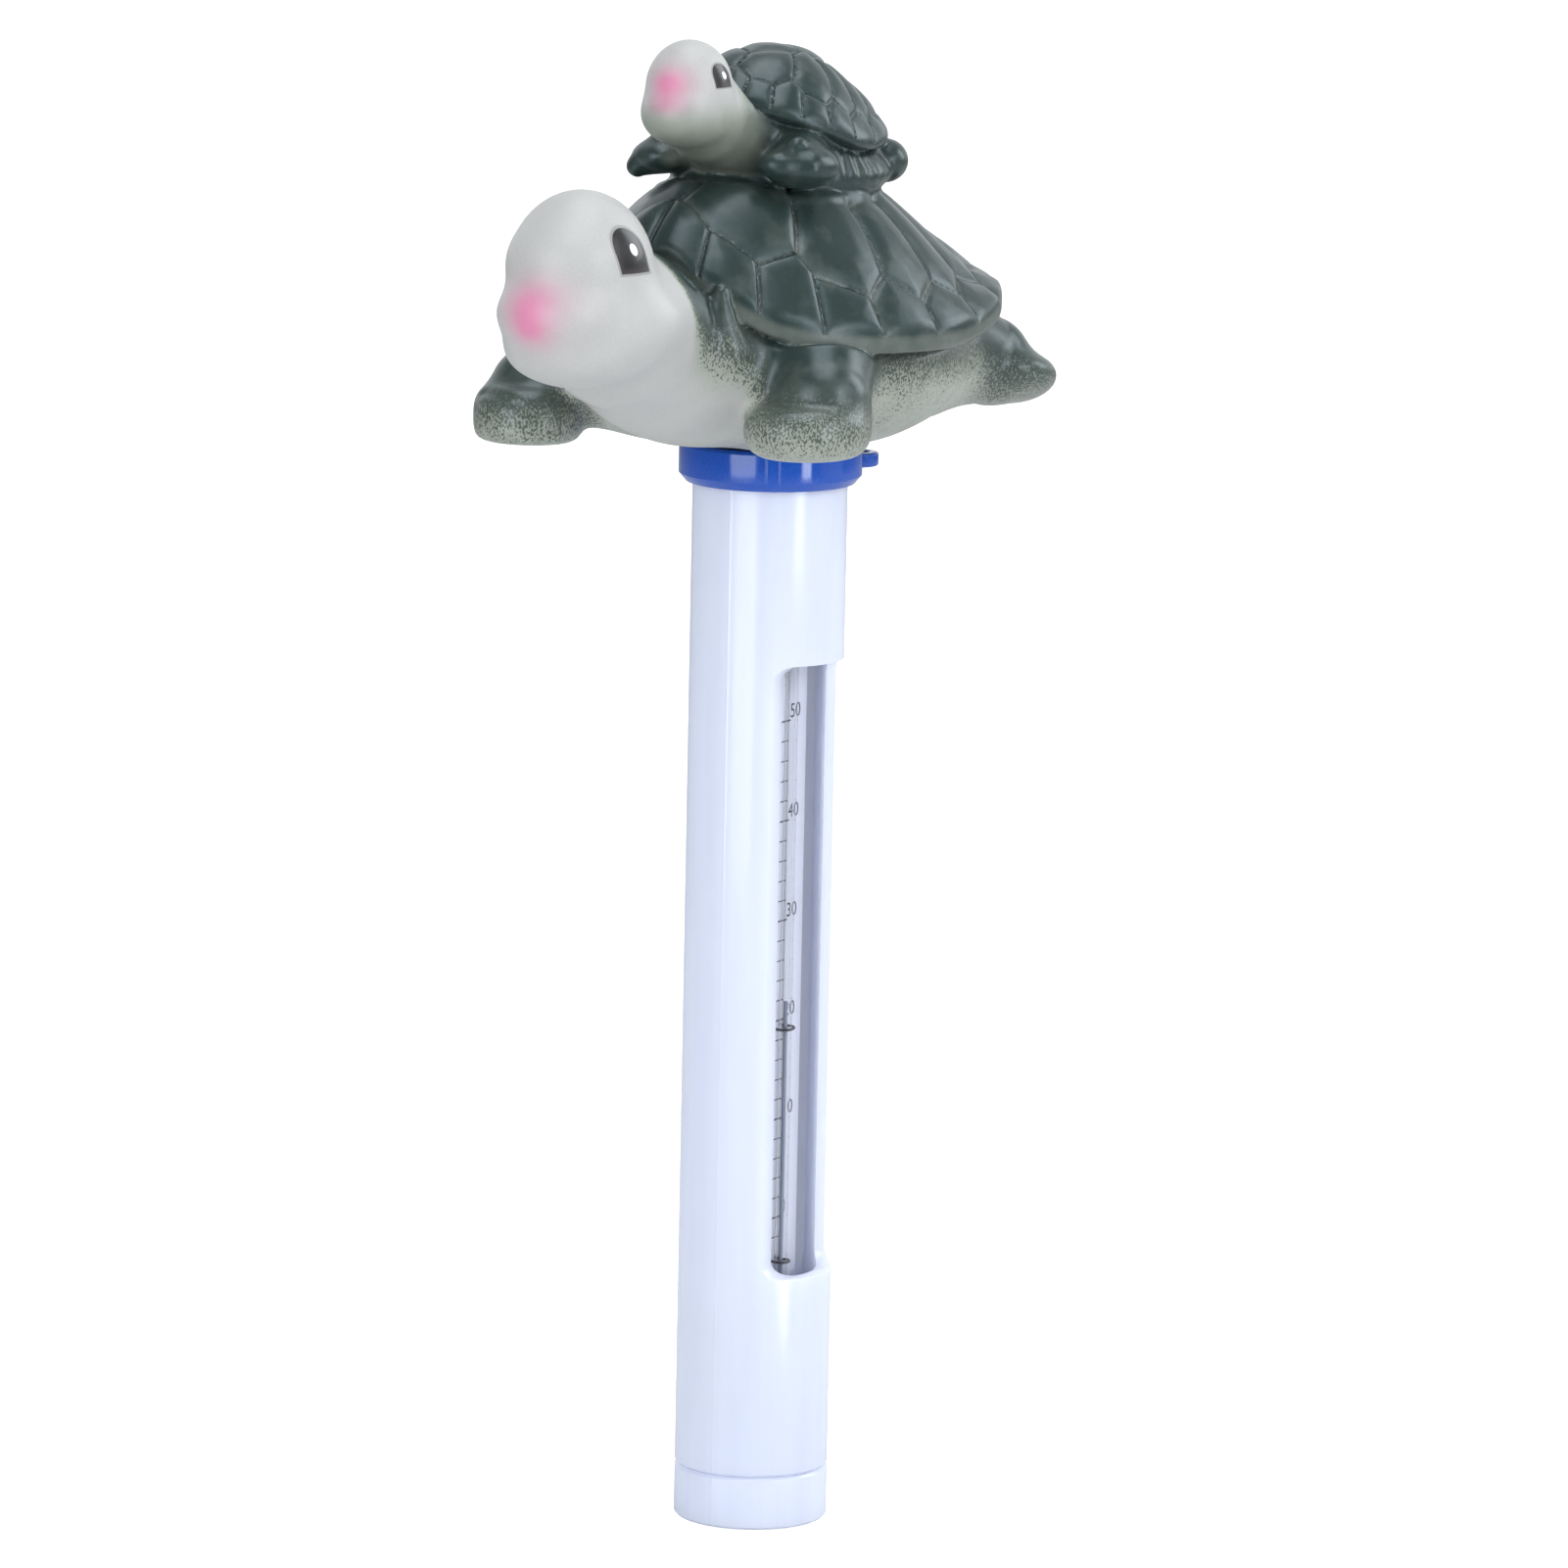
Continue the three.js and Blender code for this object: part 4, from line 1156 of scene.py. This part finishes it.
def spirit_thread():
    """The spirit in the bore. It has rings only at its two ends."""
    radius = COLUMN_HIGH.y
    outline = [(0, COLUMN_LOW.z), (radius, COLUMN_LOW.z), (radius, COLUMN_HIGH.z), (0, COLUMN_HIGH.z)]
    piece = revolved("spirit_thread", outline, np.linspace(0, 2 * pi, 28, endpoint=False))
    piece.data.transform(Matrix.Translation((STEM_X * MM, 0, 0)))
    covered(piece, spirit_material)
    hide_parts("spirit_column")
    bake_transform(piece)


# ---- pieces kept from the CAD model

def dress(node, material, sharp_angle=30):
    """Smooth shading and a material for a CAD node that is shown as it is."""
    covered(NODES[node], material)
    shaded(NODES[node].data, sharp_angle)


# ---- stage, light and camera

def floor():
    """Plain pale floor."""
    bpy.ops.mesh.primitive_plane_add(size=30, location=(0, 0, -0.0002))
    plane = bpy.context.object
    plane.name = "floor"
    mat = Shader("pale_floor")
    cloud = mat.noise(400, 2)
    seen = mat.add("ShaderNodeLightPath").outputs["Is Camera Ray"]
    mat.set(
        Base_Color=mat.mix(cloud, (0.68, 0.68, 0.68), (0.71, 0.71, 0.71)),
        Roughness=0.9,
        Emission_Color=(1, 1, 1),
        Emission_Strength=mat.times(seen, FLOOR_GLOW),
    )
    plane.data.materials.append(mat.material)


def from_camera_side(x, y, z):
    """A vector given as right, away and up as seen from the camera's side, in the part's frame."""
    a = radians(CAMERA_AZIMUTH)
    return Vector((x * cos(a) - y * sin(a), x * sin(a) + y * cos(a), z))


def camera():
    pitch, roll, yaw = (radians(v) for v in (CAMERA_PITCH, CAMERA_ROLL, CAMERA_YAW))
    ahead = Vector((sin(yaw) * cos(pitch), cos(yaw) * cos(pitch), -sin(pitch)))
    level = Vector((cos(yaw), -sin(yaw), 0))
    upright = level.cross(ahead)
    right = cos(roll) * level + sin(roll) * upright
    up = -sin(roll) * level + cos(roll) * upright
    axes = [from_camera_side(*v) for v in (right, up, -ahead)]
    place = from_camera_side(0, -CAMERA_DISTANCE, CAMERA_HEIGHT) * MM
    data = bpy.data.cameras.new("camera")
    data.lens, data.sensor_width, data.clip_start = CAMERA_LENS, CAMERA_SENSOR, 0.01
    viewer = added("camera", data)
    viewer.matrix_world = Matrix.Translation(place) @ Matrix(axes).transposed().to_4x4()
    bpy.context.scene.camera = viewer


def softbox(name, direction, distance, width, height, power):
    """A rectangular soft light that looks at the object."""
    aim = Vector((0, 0, LIGHT_AIM))
    place = aim + from_camera_side(*direction).normalized() * distance
    light = bpy.data.lights.new(name, "AREA")
    light.shape, light.size, light.size_y, light.energy = "RECTANGLE", width, height, power
    light.color = DAYLIGHT
    facing = (place - aim).to_track_quat("Z", "Y").to_matrix().to_4x4()
    added(name, light).matrix_world = Matrix.Translation(place) @ facing


def studio():
    """Surroundings: a pale backdrop behind the object and a dimmer room on the camera's side."""
    world = bpy.data.worlds.new("studio")
    bpy.context.scene.world = world
    nodes = Nodes(world)
    direction = nodes.add("ShaderNodeTexCoord").outputs["Generated"]
    ahead = from_camera_side(0, 1, -0.15).normalized()
    facing = nodes.vector("DOT_PRODUCT", direction, ahead, output="Value")
    limits = {"Value": facing, "From Min": 0.2, "From Max": 0.8, "To Min": ROOM, "To Max": BACKDROP}
    shade = nodes.add("ShaderNodeMapRange", limits).outputs[0]
    seen = nodes.add("ShaderNodeLightPath").outputs["Is Camera Ray"]
    background = world.node_tree.nodes["Background"]
    nodes.feed(background.inputs["Strength"], nodes.maths("MULTIPLY_ADD", seen, HORIZON_GLOW, shade))
    nodes.feed(background.inputs["Color"], DAYLIGHT)


def lights():
    for name, values in LIGHTS.items():
        softbox(name, *values)
    studio()
    bpy.context.scene.view_settings.view_transform = "Standard"


# ---- build

white_plastic_material = white_plastic()
blue_plastic_material = blue_plastic()
spirit_material = spirit_liquid()
rubber_material = rubber()
steel_material = metal("turned_steel", (0.38, 0.385, 0.39), (0.55, 0.555, 0.56), 0.25, 0.5, (1, 1, 0.1))
clip_material = metal("dark_wire", (0.05, 0.05, 0.055), (0.13, 0.13, 0.14), 0.3, 0.2, (1, 1, 1))

turtle()
casing_tube()
end_cap()
screw_collar()
scale_print()
for clip_node in ("clip_lower", "clip_middle", "clip_upper"):
    wire_clip(clip_node, clip_material)
spirit_thread()

dress("scale_plate", printed_card())
envelope_glass = clear_glass("envelope_glass", (0.995, 0.995, 1.0), (0.965, 0.965, 0.99), 0.18)
dress("glass_envelope", envelope_glass)
stem_glass = clear_glass("capillary_glass", (0.98, 0.985, 0.99), (0.88, 0.89, 0.92), 0.45)
dress("capillary_tube", stem_glass)
dress("bulb_spirit", spirit_material, 60)
dress("foam_spacer", foam())
dress("float_plug", blue_plastic_material)
for steel_node in ("ballast_weight", "plug_screw"):
    dress(steel_node, steel_material)
for rubber_node in ("rubber_seat", "lower_ring", "upper_ring", "envelope_stopper", "sealing_washer"):
    dress(rubber_node, rubber_material)

floor()
lights()
camera()
